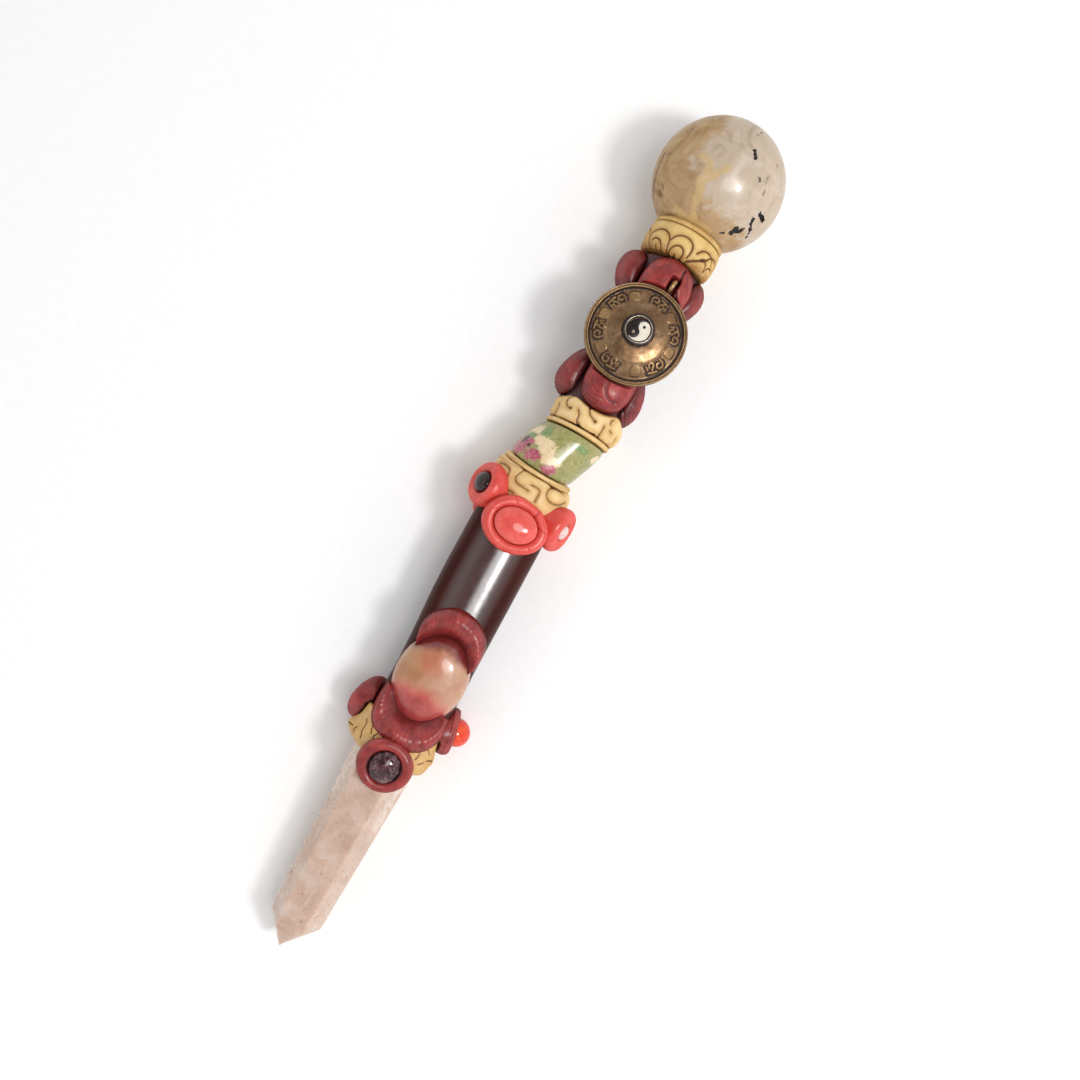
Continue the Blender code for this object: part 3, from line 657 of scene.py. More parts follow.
def build_upper_collar():
    sections = [(178.1, -0.6, 0.0, 8.8), (178.1, -0.6, 0.0, 10.1), (179.4, -0.8, 0.0, 10.9),
                (181.5, -0.9, 0.0, 11.2), (183.2, -0.85, 0.0, 11.1), (183.9, -0.75, 0.0, 10.5),
                (183.9, -0.75, 0.0, 9.2)]
    rings, angle = round_rings(sections, 0.16, 360)
    rings[..., 0] += (upper_edge(angle) - 183.9) * step_up(rings[..., 0], 179.5, 183.9)
    radius = 11.0
    seen = [
        [(178.9, 9.2), (180.0, 8.8), (181.2, 8.7), (182.4, 9.0)],
        [(178.8, 6.6), (178.8, 5.0), (178.9, 3.6), (179.3, 2.7)],
        [(179.7, 1.4), (180.5, 2.0), (181.5, 2.1), (182.7, 2.4), (183.7, 3.3)],
        [(180.2, 1.3), (179.5, 0.2), (179.1, -1.8), (179.1, -4.0), (179.5, -5.4)],
        [(183.1, 5.3), (182.9, 6.3), (183.5, 7.2), (184.8, 7.5), (186.0, 7.1), (187.1, 6.4)],
        [(186.2, 0.2), (185.0, 0.0), (184.0, -0.8), (183.4, -2.0), (183.0, -2.9)],
        [(183.2, -6.0), (181.5, -6.3), (180.0, -6.5), (179.0, -7.2), (178.5, -8.3), (178.2, -9.6)],
        [(178.5, -10.9), (180.0, -11.1), (181.6, -10.9)],
        [(182.3, -9.3), (182.5, -8.6), (182.9, -8.2)],
        [(184.6, -7.4), (185.5, -7.3), (186.2, -7.6)],
    ]
    lines = wrapped(seen, -0.8, radius)
    dots = [[(a, b), (a + 0.01, b)] for a, b in on_round([(183.0, -3.0), (182.9, 5.6)], -0.8, radius)]
    back = turned_about(flipped(lines[:6]), math.pi * radius + 2.0)
    back += turned_about(lines[2:6], 0.55 * math.pi * radius)
    back += turned_about(back, -2 * math.pi * radius)
    chart = (angle * radius, rings[..., 0])
    rings = handmade(rings, 0.14, 0.03, 13)
    rings, groove, shade = carve(rings, chart, lines + back, 0.44, 0.34)
    dotted = bell(distance(*chart, dots), 0.42)
    rings = swell(rings, -0.35 * dotted)
    groove = np.maximum(groove, dotted)
    # Painted shade along the edges against the petals and the band.
    rim = bell(rings[..., 0] - upper_edge(angle), 0.45) + 0.8 * bell(rings[..., 0] - 178.1, 0.3)
    groove, shade = np.maximum(0.7 * groove, 0.6 * rim), np.maximum(0.8 * shade, rim)
    clay_piece("upper_collar", rings, groove, shade, CREAM)


# ---------------------------------------------------------------- pommel


def build_cup():
    profile = ((234.7, 8.6), (234.7, 10.0), (235.6, 10.95), (238.3, 11.45), (241.1, 11.4), (243.2, 11.05),
               (243.6, 10.7), (243.6, 9.2), (244.2, 8.3), (243.4, 6.0), (242.9, 4.0))
    sections = [(station, CUP_Y, 0.0, r) for station, r in profile]
    rings, angle = round_rings(sections, 0.16, 400)
    radius = 11.4
    seen = [
        [(237.9, 8.1), (237.0, 7.9), (236.6, 7.2), (236.9, 6.5), (238.1, 6.3), (239.4, 6.7), (240.1, 7.7),
         (239.9, 8.8), (238.9, 9.5)],
        [(235.6, 9.3), (237.2, 10.0), (239.5, 10.3), (241.5, 9.8), (243.0, 8.6), (243.5, 7.2), (243.0, 5.8),
         (241.8, 4.8), (240.0, 4.5), (238.2, 4.2), (236.8, 3.9)],
        [(241.9, 4.4), (243.4, 3.6), (244.5, 2.0), (244.8, 0.3), (244.3, -1.5), (243.0, -2.6),
         (241.2, -2.9), (239.2, -2.6)],
        [(236.9, 3.2), (238.5, 3.4), (240.0, 3.0), (241.1, 2.0), (241.4, 0.8), (240.9, -0.4), (239.8, -1.0),
         (238.2, -1.0)],
        [(241.9, -4.6), (243.2, -5.6), (243.8, -7.0), (243.4, -8.6), (242.2, -9.7), (240.6, -10.1)],
        [(241.0, -6.9), (240.7, -8.2), (239.4, -9.0), (238.0, -9.2)],
    ]
    lines = wrapped(seen, CUP_Y, radius)
    turn = 2 * math.pi * radius
    back = turned_about(lines, 0.36 * turn) + turned_about(flipped(lines), 0.70 * turn)
    back += turned_about(back, -turn)
    gash = [on_round([(238.4, -3.2), (239.6, -5.0), (240.8, -7.0), (241.5, -8.0)], CUP_Y, radius)]
    dots = [on_round([(237.7, 1.0), (238.5, 1.4)], CUP_Y, radius)]
    chart = (angle * radius, rings[..., 0])
    rings = handmade(rings, 0.10, 0.025, 17)
    rings, groove, shade = carve(rings, chart, lines + back, 0.38, 0.24)
    deep = bell(distance(*chart, gash), 0.42)
    dotted = bell(distance(*chart, dots), 0.38)
    rings = swell(rings, -0.5 * deep - 0.3 * dotted)
    groove = np.maximum.reduce([groove, deep, dotted])
    weave = np.sin((chart[0] + chart[1]) * 7.2) * np.sin((chart[0] - chart[1]) * 7.2)
    rings = swell(rings, 0.012 * weave)
    # Painted shade at both ends, against the rim and the petals, and over the end beside the petals.
    edge = bell(rings[..., 0] - 243.75, 0.3) + bell(rings[..., 0] - 234.6, 0.6)
    low = 1 - step_up(rings[..., 0], 235.0, 238.5)
    shade = np.maximum.reduce([0.85 * shade, 0.6 * edge, low])
    clay_piece("pommel_cup", rings, np.maximum(groove, 0.4 * edge), shade, CUP)


def build_cup_rim():
    seat = BALL_R + 0.12
    profile = [(243.9, 8.8), (243.9, 10.75), (244.4, 11.15), (245.0, 11.05), (245.3, 10.7)]
    profile += [(BALL_S - math.sqrt(seat ** 2 - r ** 2), r) for r in (10.25, 9.6, 8.8)]
    sections = [(station, CUP_Y, 0.0, r) for station, r in profile]
    rings, angle = round_rings(sections, 0.15, 340, 4, bored=False)
    outer = step_up(np.hypot(rings[..., 1] - CUP_Y, rings[..., 2]), 10.2, 10.6)
    rings = swell(rings, outer * (0.08 * noise(rings, 5.0, 19) + 0.03 * np.sin(90 * angle)))
    # Painted shade over the rim, more at its joint with the cup; the inside against the sphere is painted
    # dark.
    edge = bell(rings[..., 0] - 243.8, 0.3)
    inside = 1 - step_up(np.hypot(rings[..., 1] - CUP_Y, rings[..., 2]), 10.0, 10.5)
    clay_piece("pommel_rim", rings, np.maximum(0.45 * edge, 0.8 * inside), 0.35 + 0.3 * edge, CUP)


def ball_point(station, side):
    """Point of the pommel sphere that is seen at (station, side)."""
    height = 14.0
    for _ in range(8):
        s, y = under_eye(station, side, height)
        height = math.sqrt(max(BALL_R ** 2 - (s - BALL_S) ** 2 - (y - CUP_Y) ** 2, 0.0))
    return np.array([s, y, height])


def stroke_gap(rings, start, end):
    """Distance in millimetres from a straight stroke between two seen marks on the sphere."""
    a, b = ball_point(*start), ball_point(*end)
    along = b - a
    t = np.clip(((rings - a) @ along) / (along @ along), 0, 1)
    return np.linalg.norm(rings - a - t[..., None] * along, axis=2)


def moonstone():
    """Look of clouded grey and buff stone with ochre veins, brown smudges and black flecks."""
    p = Paint("pommel_stone", Roughness=0.30, Subsurface_Radius=(1.0, 0.8, 0.6), Subsurface_Scale=0.004,
              Coat_Roughness=0.04)
    p.gloss(0.5, 0.02, 0.15, 0.50)
    cloud = p.noise(9.0, 6.0, 0.62, 1.4)
    cool = p.ramp(cloud, (0.30, rgb(166, 146, 124)), (0.45, rgb(186, 168, 146)), (0.58, rgb(194, 176, 158)),
                  (0.72, rgb(208, 192, 176)))
    buff = p.ramp(cloud, (0.30, rgb(148, 112, 74)), (0.48, rgb(172, 138, 96)), (0.62, rgb(184, 154, 112)),
                  (0.75, rgb(202, 178, 140)))
    drift = p.remap(p.noise(6.0, 5.0, 0.6, 0.8), 0.25, 0.75, -0.32, 0.32)
    colour = p.mix(p.remap(p.plus(p.value("warm"), drift), 0.25, 0.85), cool, buff)
    vein = p.remap(p.plus(p.value("ochre"), drift), 0.42, 0.95)
    colour = p.mix(p.times(vein, 0.6), colour, rgb(204, 172, 112))
    crack = p.remap(p.seams(7.5, p.warped(5.0, 3.0)), 0.0, 0.05, 0.10, 0.0)
    colour = p.mix(crack, colour, rgb(160, 148, 118))
    colour = p.spots(colour, rgb(150, 122, 96), p.noise(1.4, 3.0, 0.6), 0.66, 0.76, 0.35)
    jag = p.remap(p.noise(0.9, 3.0, 0.7), 0.2, 0.8, -0.42, 0.42)
    colour = p.spots(colour, rgb(112, 78, 52), p.plus(p.value("smudge"), jag), -0.25, 0.6, 0.75)
    black = p.remap(p.plus(p.value("fleck"), jag), -0.05, 0.12)
    colour = p.mix(black, colour, rgb(12, 6, 6))
    p.link(colour, "Base Color")
    p.link(p.remap(black, 0.0, 1.0, 0.22, 0.05), "Coat Weight")
    p.link(p.remap(black, 0.0, 1.0, 0.18, 0.0), "Subsurface Weight")
    p.bumps((p.noise(2.5, 3.0), 0.012, 0.15), (black, -0.02, 0.5))
    return p.material, "pommel_stone"


def build_ball():
    polar = np.linspace(0.012, np.pi - 0.012, 170)[:, None]
    angle = full_turn(330)
    rings = lathe(BALL_S - BALL_R * np.cos(polar), CUP_Y, BALL_R * np.sin(polar), angle)
    flecks = [((250.7, -7.6), (251.2, -8.3), 0.36), ((252.4, -10.4), (254.2, -11.0), 0.90),
              ((253.4, -11.8), (255.0, -12.8), 0.72), ((256.2, -14.6), (259.3, -13.9), 0.58),
              ((253.2, -14.9), (256.2, -15.0), 0.42), ((261.6, -15.0), (260.4, -16.8), 0.78),
              ((271.1, -9.2), (270.2, -10.2), 0.46), ((277.4, -4.3), (275.6, -5.6), 0.60),
              ((249.3, -11.8), (249.6, -12.2), 0.2), ((276.0, -12.6), (276.8, -12.3), 0.22),
              ((282.9, -3.2), (283.0, -3.8), 0.3)]
    smudges = [((251.6, 13.6), (252.4, 14.6), 1.0), ((254.0, 14.0), (254.5, 14.5), 0.5),
               ((263.2, 17.8), (264.0, 17.4), 0.5), ((253.8, 15.6), (254.6, 16.2), 0.35),
               ((248.0, 13.0), (248.6, 13.6), 0.5), ((272.0, 15.2), (275.0, 15.0), 0.3),
               ((267.0, -13.0), (268.5, -12.8), 0.5), ((270.5, -11.9), (272.6, -11.7), 0.3),
               ((281.8, -2.6), (282.2, -3.0), 0.4), ((246.4, 10.5), (249.0, 6.5), 0.45),
               ((250.0, -15.5), (254.5, -18.2), 0.45), ((267.6, -16.2), (268.4, -16.1), 0.3),
               ((249.0, 15.6), (254.0, 17.4), 1.3), ((254.0, 17.4), (263.0, 18.8), 1.0)]

    behind = [((268.0, -6.0, -17.8), 0.7), ((257.0, 9.0, -16.6), 0.5), ((270.0, 12.0, -13.8), 0.35),
              ((266.0, -17.0, -9.6), 0.4), ((255.0, -8.0, -16.3), 0.4), ((274.5, 3.0, -15.7), 0.4)]
    veins = (((249.5, 1.0), (253.0, 3.0), (257.0, 3.6), (261.0, 4.6), (265.0, 4.8), (268.0, 5.6),
              (268.6, 8.5)),
             ((262.0, 5.0), (264.5, 3.2), (266.8, 1.6), (268.2, 0.4)),
             ((249.0, -4.0), (249.6, 2.0), (250.2, 7.5)))
    fleck, smudge, ochre = (np.full(rings.shape[:2], lowest) for lowest in (-9.0, -9.0, 0.0))
    for start, end, reach in flecks:
        fleck = np.maximum(fleck, reach - stroke_gap(rings, start, end))
    for place, reach in behind:
        gap = np.linalg.norm((rings - np.array(place)) * (1.0, 0.6, 1.0), axis=2)
        fleck = np.maximum(fleck, reach - gap)
    for start, end, reach in smudges:
        smudge = np.maximum(smudge, reach - stroke_gap(rings, start, end))
    for vein in veins:
        for start, end in zip(vein, vein[1:]):
            ochre = np.maximum(ochre, bell(stroke_gap(rings, start, end), 1.9))
    s, y = rings[..., 0], rings[..., 1]
    left = step_up(y, -3.0, 16.0)
    warm = np.clip(0.9 * left + 0.8 * bell(s - 247.0, 5.5), 0, 1)
    fields = {"fleck": fleck, "smudge": smudge, "ochre": ochre, "warm": warm}
    piece("pommel_sphere", rings, fields, moonstone())


# ---------------------------------------------------------------- handle, palm stone and lips

# The handle's (station, side, radius) along its slightly bent axis.
HANDLE_LINE = np.array([(72.3, 1.6, 11.1), (92.0, 1.65, 11.1), (100.0, 2.05, 11.15), (108.0, 2.45, 11.4),
                        (116.0, 2.85, 11.6), (124.0, 3.15, 11.7), (140.0, 3.5, 11.65), (150.0, 3.75, 11.5)])
# The palm stone: its middle, half axes, heights above the wand's axis, and the form of its top.
PALM = (92.6, 1.45)
PALM_HALF = (14.3, 10.85)
PALM_BASE = 5.0
PALM_GIRDLE = 6.5
PALM_TOP = 13.2
PALM_DOME = 2.3
PALM_SLOPE = 0.22


def handle_at(station):
    """Lateral offset and radius of the handle at a station."""
    stations, sides, radii = HANDLE_LINE.T
    return np.interp(station, stations, sides), np.interp(station, stations, radii)


def handle_top(station, side):
    y, r = handle_at(station)
    return np.sqrt(np.maximum(r * r - (side - y) ** 2, 0.0))


def palm_share(station, side):
    """How far a point is from the palm stone's middle: 1 on its outline."""
    return np.hypot((station - PALM[0]) / PALM_HALF[0], (side - PALM[1]) / PALM_HALF[1])


def palm_dome(share):
    return PALM_GIRDLE + (PALM_TOP - PALM_GIRDLE) * np.sqrt(1.0 - share ** PALM_DOME)


def palm_top(station, side):
    share = np.minimum(palm_share(station, side), 1.0)
    return palm_dome(share) + palm_tilt(station, share)


def palm_tilt(station, share):
    """Rise of the stone's top towards its far end."""
    along = station - PALM[0]
    return PALM_SLOPE * 0.5 * (along + np.sqrt(along ** 2 + 30.0) - 4.0) * (1.0 - share ** 4)


def stained_wood():
    """Look of dark stained wood with a satin lacquer that is worn along the grain."""
    p = Paint("handle_wood", IOR=1.7)
    p.gloss(0.8, 0.02, 0.02, 0.32)
    grain = p.noise(2.2, 5.0, 0.6, 0.3, p.stretched((0.08, 1.0, 1.0)))
    fine = p.noise(0.5, 3.0, 0.6, 0.0, p.stretched((0.05, 1.0, 1.0)))
    colour = p.ramp(grain, (0.30, rgb(52, 22, 18)), (0.55, rgb(66, 31, 26)), (0.75, rgb(78, 40, 33)))
    colour = p.spots(colour, rgb(54, 24, 24), p.noise(14.0, 3.0, 0.5), 0.35, 0.65, 0.35)
    colour = p.spots(colour, rgb(34, 16, 16), fine, 0.60, 0.72, 0.5)
    grip = p.remap(p.noise(9.0, 4.0, 0.6), 0.5, 0.75, 0.0, 0.10)
    p.link(colour, "Base Color")
    rough = p.remap(p.noise(3.0, 4.0, 0.65), 0.25, 0.75, 0.21, 0.30)
    p.link(p.plus(rough, grip), "Roughness")
    rubbed = p.noise(0.6, 4.0, 0.7, 0.0, p.stretched((0.04, 1.0, 1.0)))
    p.bumps((grain, 0.03, 0.25), (rubbed, 0.02, 0.35), (p.noise(0.22, 2.0), 0.008, 0.3))
    return p.material, "handle_wood"


def build_handle():
    stations = np.concatenate([[72.3], np.arange(73.0, 112.0, 0.5), np.arange(112.0, 150.01, 0.9)])
    angle = full_turn(220)
    y, r = (v[:, None] for v in handle_at(stations))
    r = r + 0 * angle
    r[0] -= 0.4
    rings = lathe(stations[:, None], y, r, angle)
    inside = 1 - step_up(palm_share(rings[..., 0], rings[..., 1]), 0.97, 1.05)
    pocket = np.minimum(rings[..., 2], PALM_BASE + 0.2)
    lowered = rings[..., 2] + (pocket - rings[..., 2]) * inside
    rings[..., 2] = np.where(rings[..., 2] > 0, lowered, rings[..., 2])
    piece("handle", rings, {}, stained_wood())


def agate():
    """Look of pink and tan agate, red towards the tip, and deep red at its far end, where the maroon lip seen
    through the thin stone is painted on.
    """
    p = Paint("palm_stone", Roughness=0.28, Specular_IOR_Level=0.6, Coat_Weight=0.5, Coat_Roughness=0.03,
              Subsurface_Weight=0.35, Subsurface_Scale=0.004, Subsurface_Radius=(1.0, 0.5, 0.35))
    cloud = p.noise(8.0, 4.0, 0.55, 0.6)
    band = p.noise(3.5, 4.0, 0.55, 0.5, p.stretched((1.0, 0.35, 1.0)))
    pink = p.ramp(cloud, (0.32, rgb(176, 124, 98)), (0.50, rgb(190, 142, 116)), (0.68, rgb(198, 160, 136)))
    drift = p.remap(p.noise(6.0, 4.0, 0.5, 0.6), 0.25, 0.75, -0.22, 0.22)
    tan = p.ramp(cloud, (0.32, rgb(150, 98, 60)), (0.50, rgb(172, 120, 80)), (0.68, rgb(182, 136, 94)))
    colour = p.mix(p.remap(p.plus(p.value("left_side"), drift), 0.1, 0.9), pink, tan)
    colour = p.spots(colour, rgb(180, 140, 98), band, 0.4, 0.7, 0.35)
    red = p.ramp(p.plus(p.value("tip_side"), drift), (0.0, rgb(188, 136, 108)),
                 (0.30, rgb(194, 120, 100)), (0.62, rgb(190, 86, 78)), (1.0, rgb(156, 54, 54)))
    colour = p.mix(p.remap(p.value("tip_side"), 0.0, 0.55), colour, red)
    colour = p.mix(p.times(p.value("rose"), 0.5), colour, rgb(198, 110, 92))
    # Deep red at the far end: the maroon lip seen through the stone, painted into its colour.
    deep = p.remap(p.plus(p.value("lip_seen_through"), drift), 0.05, 0.95)
    colour = p.mix(deep, colour, rgb(116, 34, 34))
    p.link(colour, "Base Color")
    p.bumps((p.noise(3.0, 3.0), 0.01, 0.12))
    return p.material, "palm_stone"


def build_palm_stone():
    turn = full_turn(240)
    shares = np.concatenate([np.linspace(0.01, 0.9, 50), np.linspace(0.91, 1.0, 22)])
    over = np.stack([shares, palm_dome(shares)], 1)
    under = [(1.0, 6.2), (0.995, 5.6), (0.97, 5.1), (0.94, 5.0), (0.5, 5.0), (0.01, 5.0)]
    rows = np.vstack([over, under])
    share, z = columns(rows)
    rings = np.stack([PALM[0] + PALM_HALF[0] * share * np.cos(turn),
                      PALM[1] + PALM_HALF[1] * share * np.sin(turn), z + 0 * turn], 2)
    top = np.arange(len(rows))[:, None] < len(over)
    rings[..., 2] += top * palm_tilt(rings[..., 0], share)
    rings = swell(rings, 0.05 * noise(rings, 9.0, 23))
    s, y = rings[..., 0], rings[..., 1]
    tip_side = 1 - step_up(s + 0.08 * np.abs(y - 1.5) ** 1.5, 80.5, 95.0)
    left_side = step_up(y, -5.0, 8.0)
    # Where the maroon lip shows through the stone's far end: the mask for its painted see-through.
    far = palm_share(s, y) * step_up(s, 93.0, 103.0) + 0.014 * (y - 1.5)
    lip_seen_through = step_up(far, 0.38, 0.92)
    rose = step_up(np.hypot((s - 97.5) / 5.5, (y - 3.0) / 6.0), 1.2, 0.2)
    fields = {"tip_side": tip_side, "lip_seen_through": lip_seen_through, "rose": rose, "left_side": left_side}
    piece("palm_stone", rings, fields, agate())


LIP_OVERLAP = 1.0
LIP_ACROSS = 64


def build_lip(name, outer_marks, middle_deg, spread_deg, seed):
    """Clay lip between the palm stone's outline and a curve of marks on the handle."""
    count = 150
    outer = resample(smooth_line(outer_marks, 0.3), 0.2)
    at = np.linspace(0, len(outer) - 1, count)
    outer = np.stack([np.interp(at, np.arange(len(outer)), outer[:, k]) for k in (0, 1)], 1)
    outer = np.array([under_eye(s, y, 12.0 - 0.045 * (y - 2.0) ** 2) for s, y in outer])
    t = np.linspace(-1, 1, count)
    theta = np.radians(middle_deg + spread_deg * t)
    inner = np.stack([PALM[0] + (PALM_HALF[0] - LIP_OVERLAP) * np.cos(theta),
                      PALM[1] + (PALM_HALF[1] - LIP_OVERLAP) * np.sin(theta)], 1)
    fade = np.maximum(1 - t ** 2, 0.0)
    crown = 0.7 + 3.0 * fade ** 0.6
    floor_in = palm_top(inner[:, 0], inner[:, 1])
    floor_out = handle_top(outer[:, 0], outer[:, 1]) - 0.15
    middle = inner + (outer - inner) * 0.58
    top = np.maximum(handle_top(middle[:, 0], middle[:, 1]), floor_in) + crown
    across = np.array([0.0, 0.05, 0.13, 0.24, 0.36, 0.48, 0.58, 0.68, 0.78, 0.87, 0.94, 0.985, 1.0])
    shape = np.array([0.0, 0.14, 0.34, 0.60, 0.82, 0.96, 1.0, 0.97, 0.88, 0.72, 0.50, 0.22, 0.0])
    fine = np.linspace(0, 1, LIP_ACROSS)
    rise = soften(np.interp(fine, across, shape), 8)
    upper = inner[:, None] + (outer - inner)[:, None] * fine[None, :, None]
    low = floor_in[:, None] + (floor_out - floor_in)[:, None] * fine[None, :] ** 1.5
    z = low + (top[:, None] - low) * rise[None, :]
    back = np.linspace(1, 0, 10)[1:]
    lower = inner[:, None] + (outer - inner)[:, None] * back[None, :, None]
    drop = (floor_in - 1.2)[:, None] + (floor_out - floor_in)[:, None] * back[None, :]
    loops = np.concatenate([np.dstack([upper, z]), np.dstack([lower, drop])], 1)
    length = np.concatenate([[0], np.cumsum(np.linalg.norm(np.diff(middle, axis=0), axis=1))])
    ribs, shade, groove = (np.zeros(loops.shape[:2]) for _ in range(3))
    wobble = 0.5 * noise(np.stack([length, 0 * length, 0 * length + seed], 1), 3.0, seed)
    wave = np.cos(2 * np.pi * (length / 1.55 + wobble))
    hair = np.cos(2 * np.pi * (length / 0.62 + 0.8 * wobble))
    crest = np.interp(fine, [0, 0.3, 0.6, 0.9, 1.0], [0.1, 0.8, 1.0, 0.7, 0.2])
    ribs[:, :LIP_ACROSS] = ((0.050 * wave + 0.016 * hair) * fade ** 0.6)[:, None] * crest[None, :]
    loops = swell(loops, ribs + 0.12 * noise(loops, 5.0, seed) + 0.03 * noise(loops, 1.6, seed))
    # Painted shade along the inner edge against the stone, in the rib troughs and along the outer edge
    # against the handle; both edge lines are painted darker still.
    shade[:, :LIP_ACROSS] = 0.9 * bell(fine - 0.02, 0.22)[None, :]
    shade[:, :LIP_ACROSS] += 0.25 * (wave < -0.6)[:, None] * crest[None, :]
    shade[:, :LIP_ACROSS] += 0.8 * bell(fine - 1.0, 0.16)[None, :]
    groove[:, :LIP_ACROSS] = 0.25 * bell(fine, 0.03)[None, :] + 0.5 * bell(fine - 1.0, 0.02)[None, :]
    clay_piece(name, loops, groove, shade, MAROON, closed=False)


def build_lips():
    upper = [(101.0, -8.9), (103.5, -9.1), (106.5, -8.9), (109.3, -7.8), (111.6, -5.7), (113.4, -2.8),
             (114.3, 0.6), (114.1, 4.0), (113.1, 7.0), (111.2, 9.4), (108.7, 11.2), (105.6, 12.0),
             (102.8, 11.8), (100.4, 11.1)]
    lower = [(84.5, 12.0), (81.0, 12.8), (76.6, 12.8), (72.9, 11.8), (70.4, 9.6), (69.0, 6.4), (68.2, 3.0),
             (68.0, 0.0), (68.4, -3.0), (69.8, -6.0), (72.0, -8.6), (75.2, -10.2), (79.0, -10.6),
             (83.2, -9.7)]
    build_lip("palm_lip_upper", upper, 0, 62, 29)
    build_lip("palm_lip_lower", lower, 180, 55, 31)


# ---------------------------------------------------------------- bezels

Seat = namedtuple("Seat", "station axis_y angle lean reach half_l half_w height stone_l stone_w stone_height")
SEATS = {
    "tip_front": Seat(65.0, 2.0, -7, -10, 10.5, 8.2, 8.5, 4.4, 4.9, 4.4, 4.0),
    "tip_left": Seat(76.3, 1.9, 114, 12, 12.4, 7.8, 7.5, 4.1, 3.2, 3.2, 2.6),
    "tip_right": Seat(79.5, 1.9, -114, 12, 12.4, 7.6, 7.5, 4.1, 4.4, 4.4, 6.9),
    "coral_front": Seat(143.5, 3.5, -5.5, 0, 11.2, 8.4, 9.9, 5.0, 5.0, 6.5, 4.0),
    "coral_left": Seat(150.5, 3.8, 55, -4, 11.1, 7.0, 7.0, 5.2, 3.1, 3.4, 3.4),
    "coral_right": Seat(149.3, 3.8, -69, -4, 11.4, 7.1, 6.8, 5.2, 2.3, 2.3, 2.8),
    "coral_back_left": Seat(146.6, 3.7, 139, 0, 11.0, 6.2, 6.2, 3.7, 2.5, 2.5, 2.4),
    "coral_back_right": Seat(146.6, 3.7, -145, 0, 11.0, 6.2, 6.2, 3.7, 2.5, 2.5, 2.4),
}
# Look of a family of bezels, and stations and radii of the body that they stand on.
FAMILIES = {
    "tip": (MAROON, (0, 60, 64, 66, 76, 78, 150), (8.7, 8.9, 9.2, 12.9, 12.9, 11.3, 11.3)),
    "coral": (CORAL, (0, 150.0, 152.0, 160), (11.6, 11.6, 12.4, 12.7)),
}


def node_name(key, kind):
    family, _, spot = key.partition("_")
    return f"{family}_{kind}_{spot}"


def seat_matrix(key):
    seat = SEATS[key]
    a = math.radians(seat.angle)
    place = Vector((seat.station, seat.axis_y + seat.reach * math.sin(a), seat.reach * math.cos(a))) * MM
    turn = Matrix.Rotation(-a, 4, "X") @ Matrix.Rotation(math.radians(seat.lean), 4, "Y")
    return Matrix.Translation(place) @ turn


def ground_below(key, x, y):
    """Height, in a seat's own frame, of the round body that the seat stands on."""
    m = np.array(seat_matrix(key))
    _, stations, radii = FAMILIES[key.partition("_")[0]]
    z = np.zeros(np.shape(x))
    for _ in range(12):
        local = np.stack([x, y, z], -1)
        world = local @ m[:3, :3].T + m[:3, 3] / MM
        r = np.hypot(world[..., 1] - SEATS[key].axis_y, world[..., 2])
        z = z - 0.8 * (r - np.interp(world[..., 0], stations, radii))
    return z


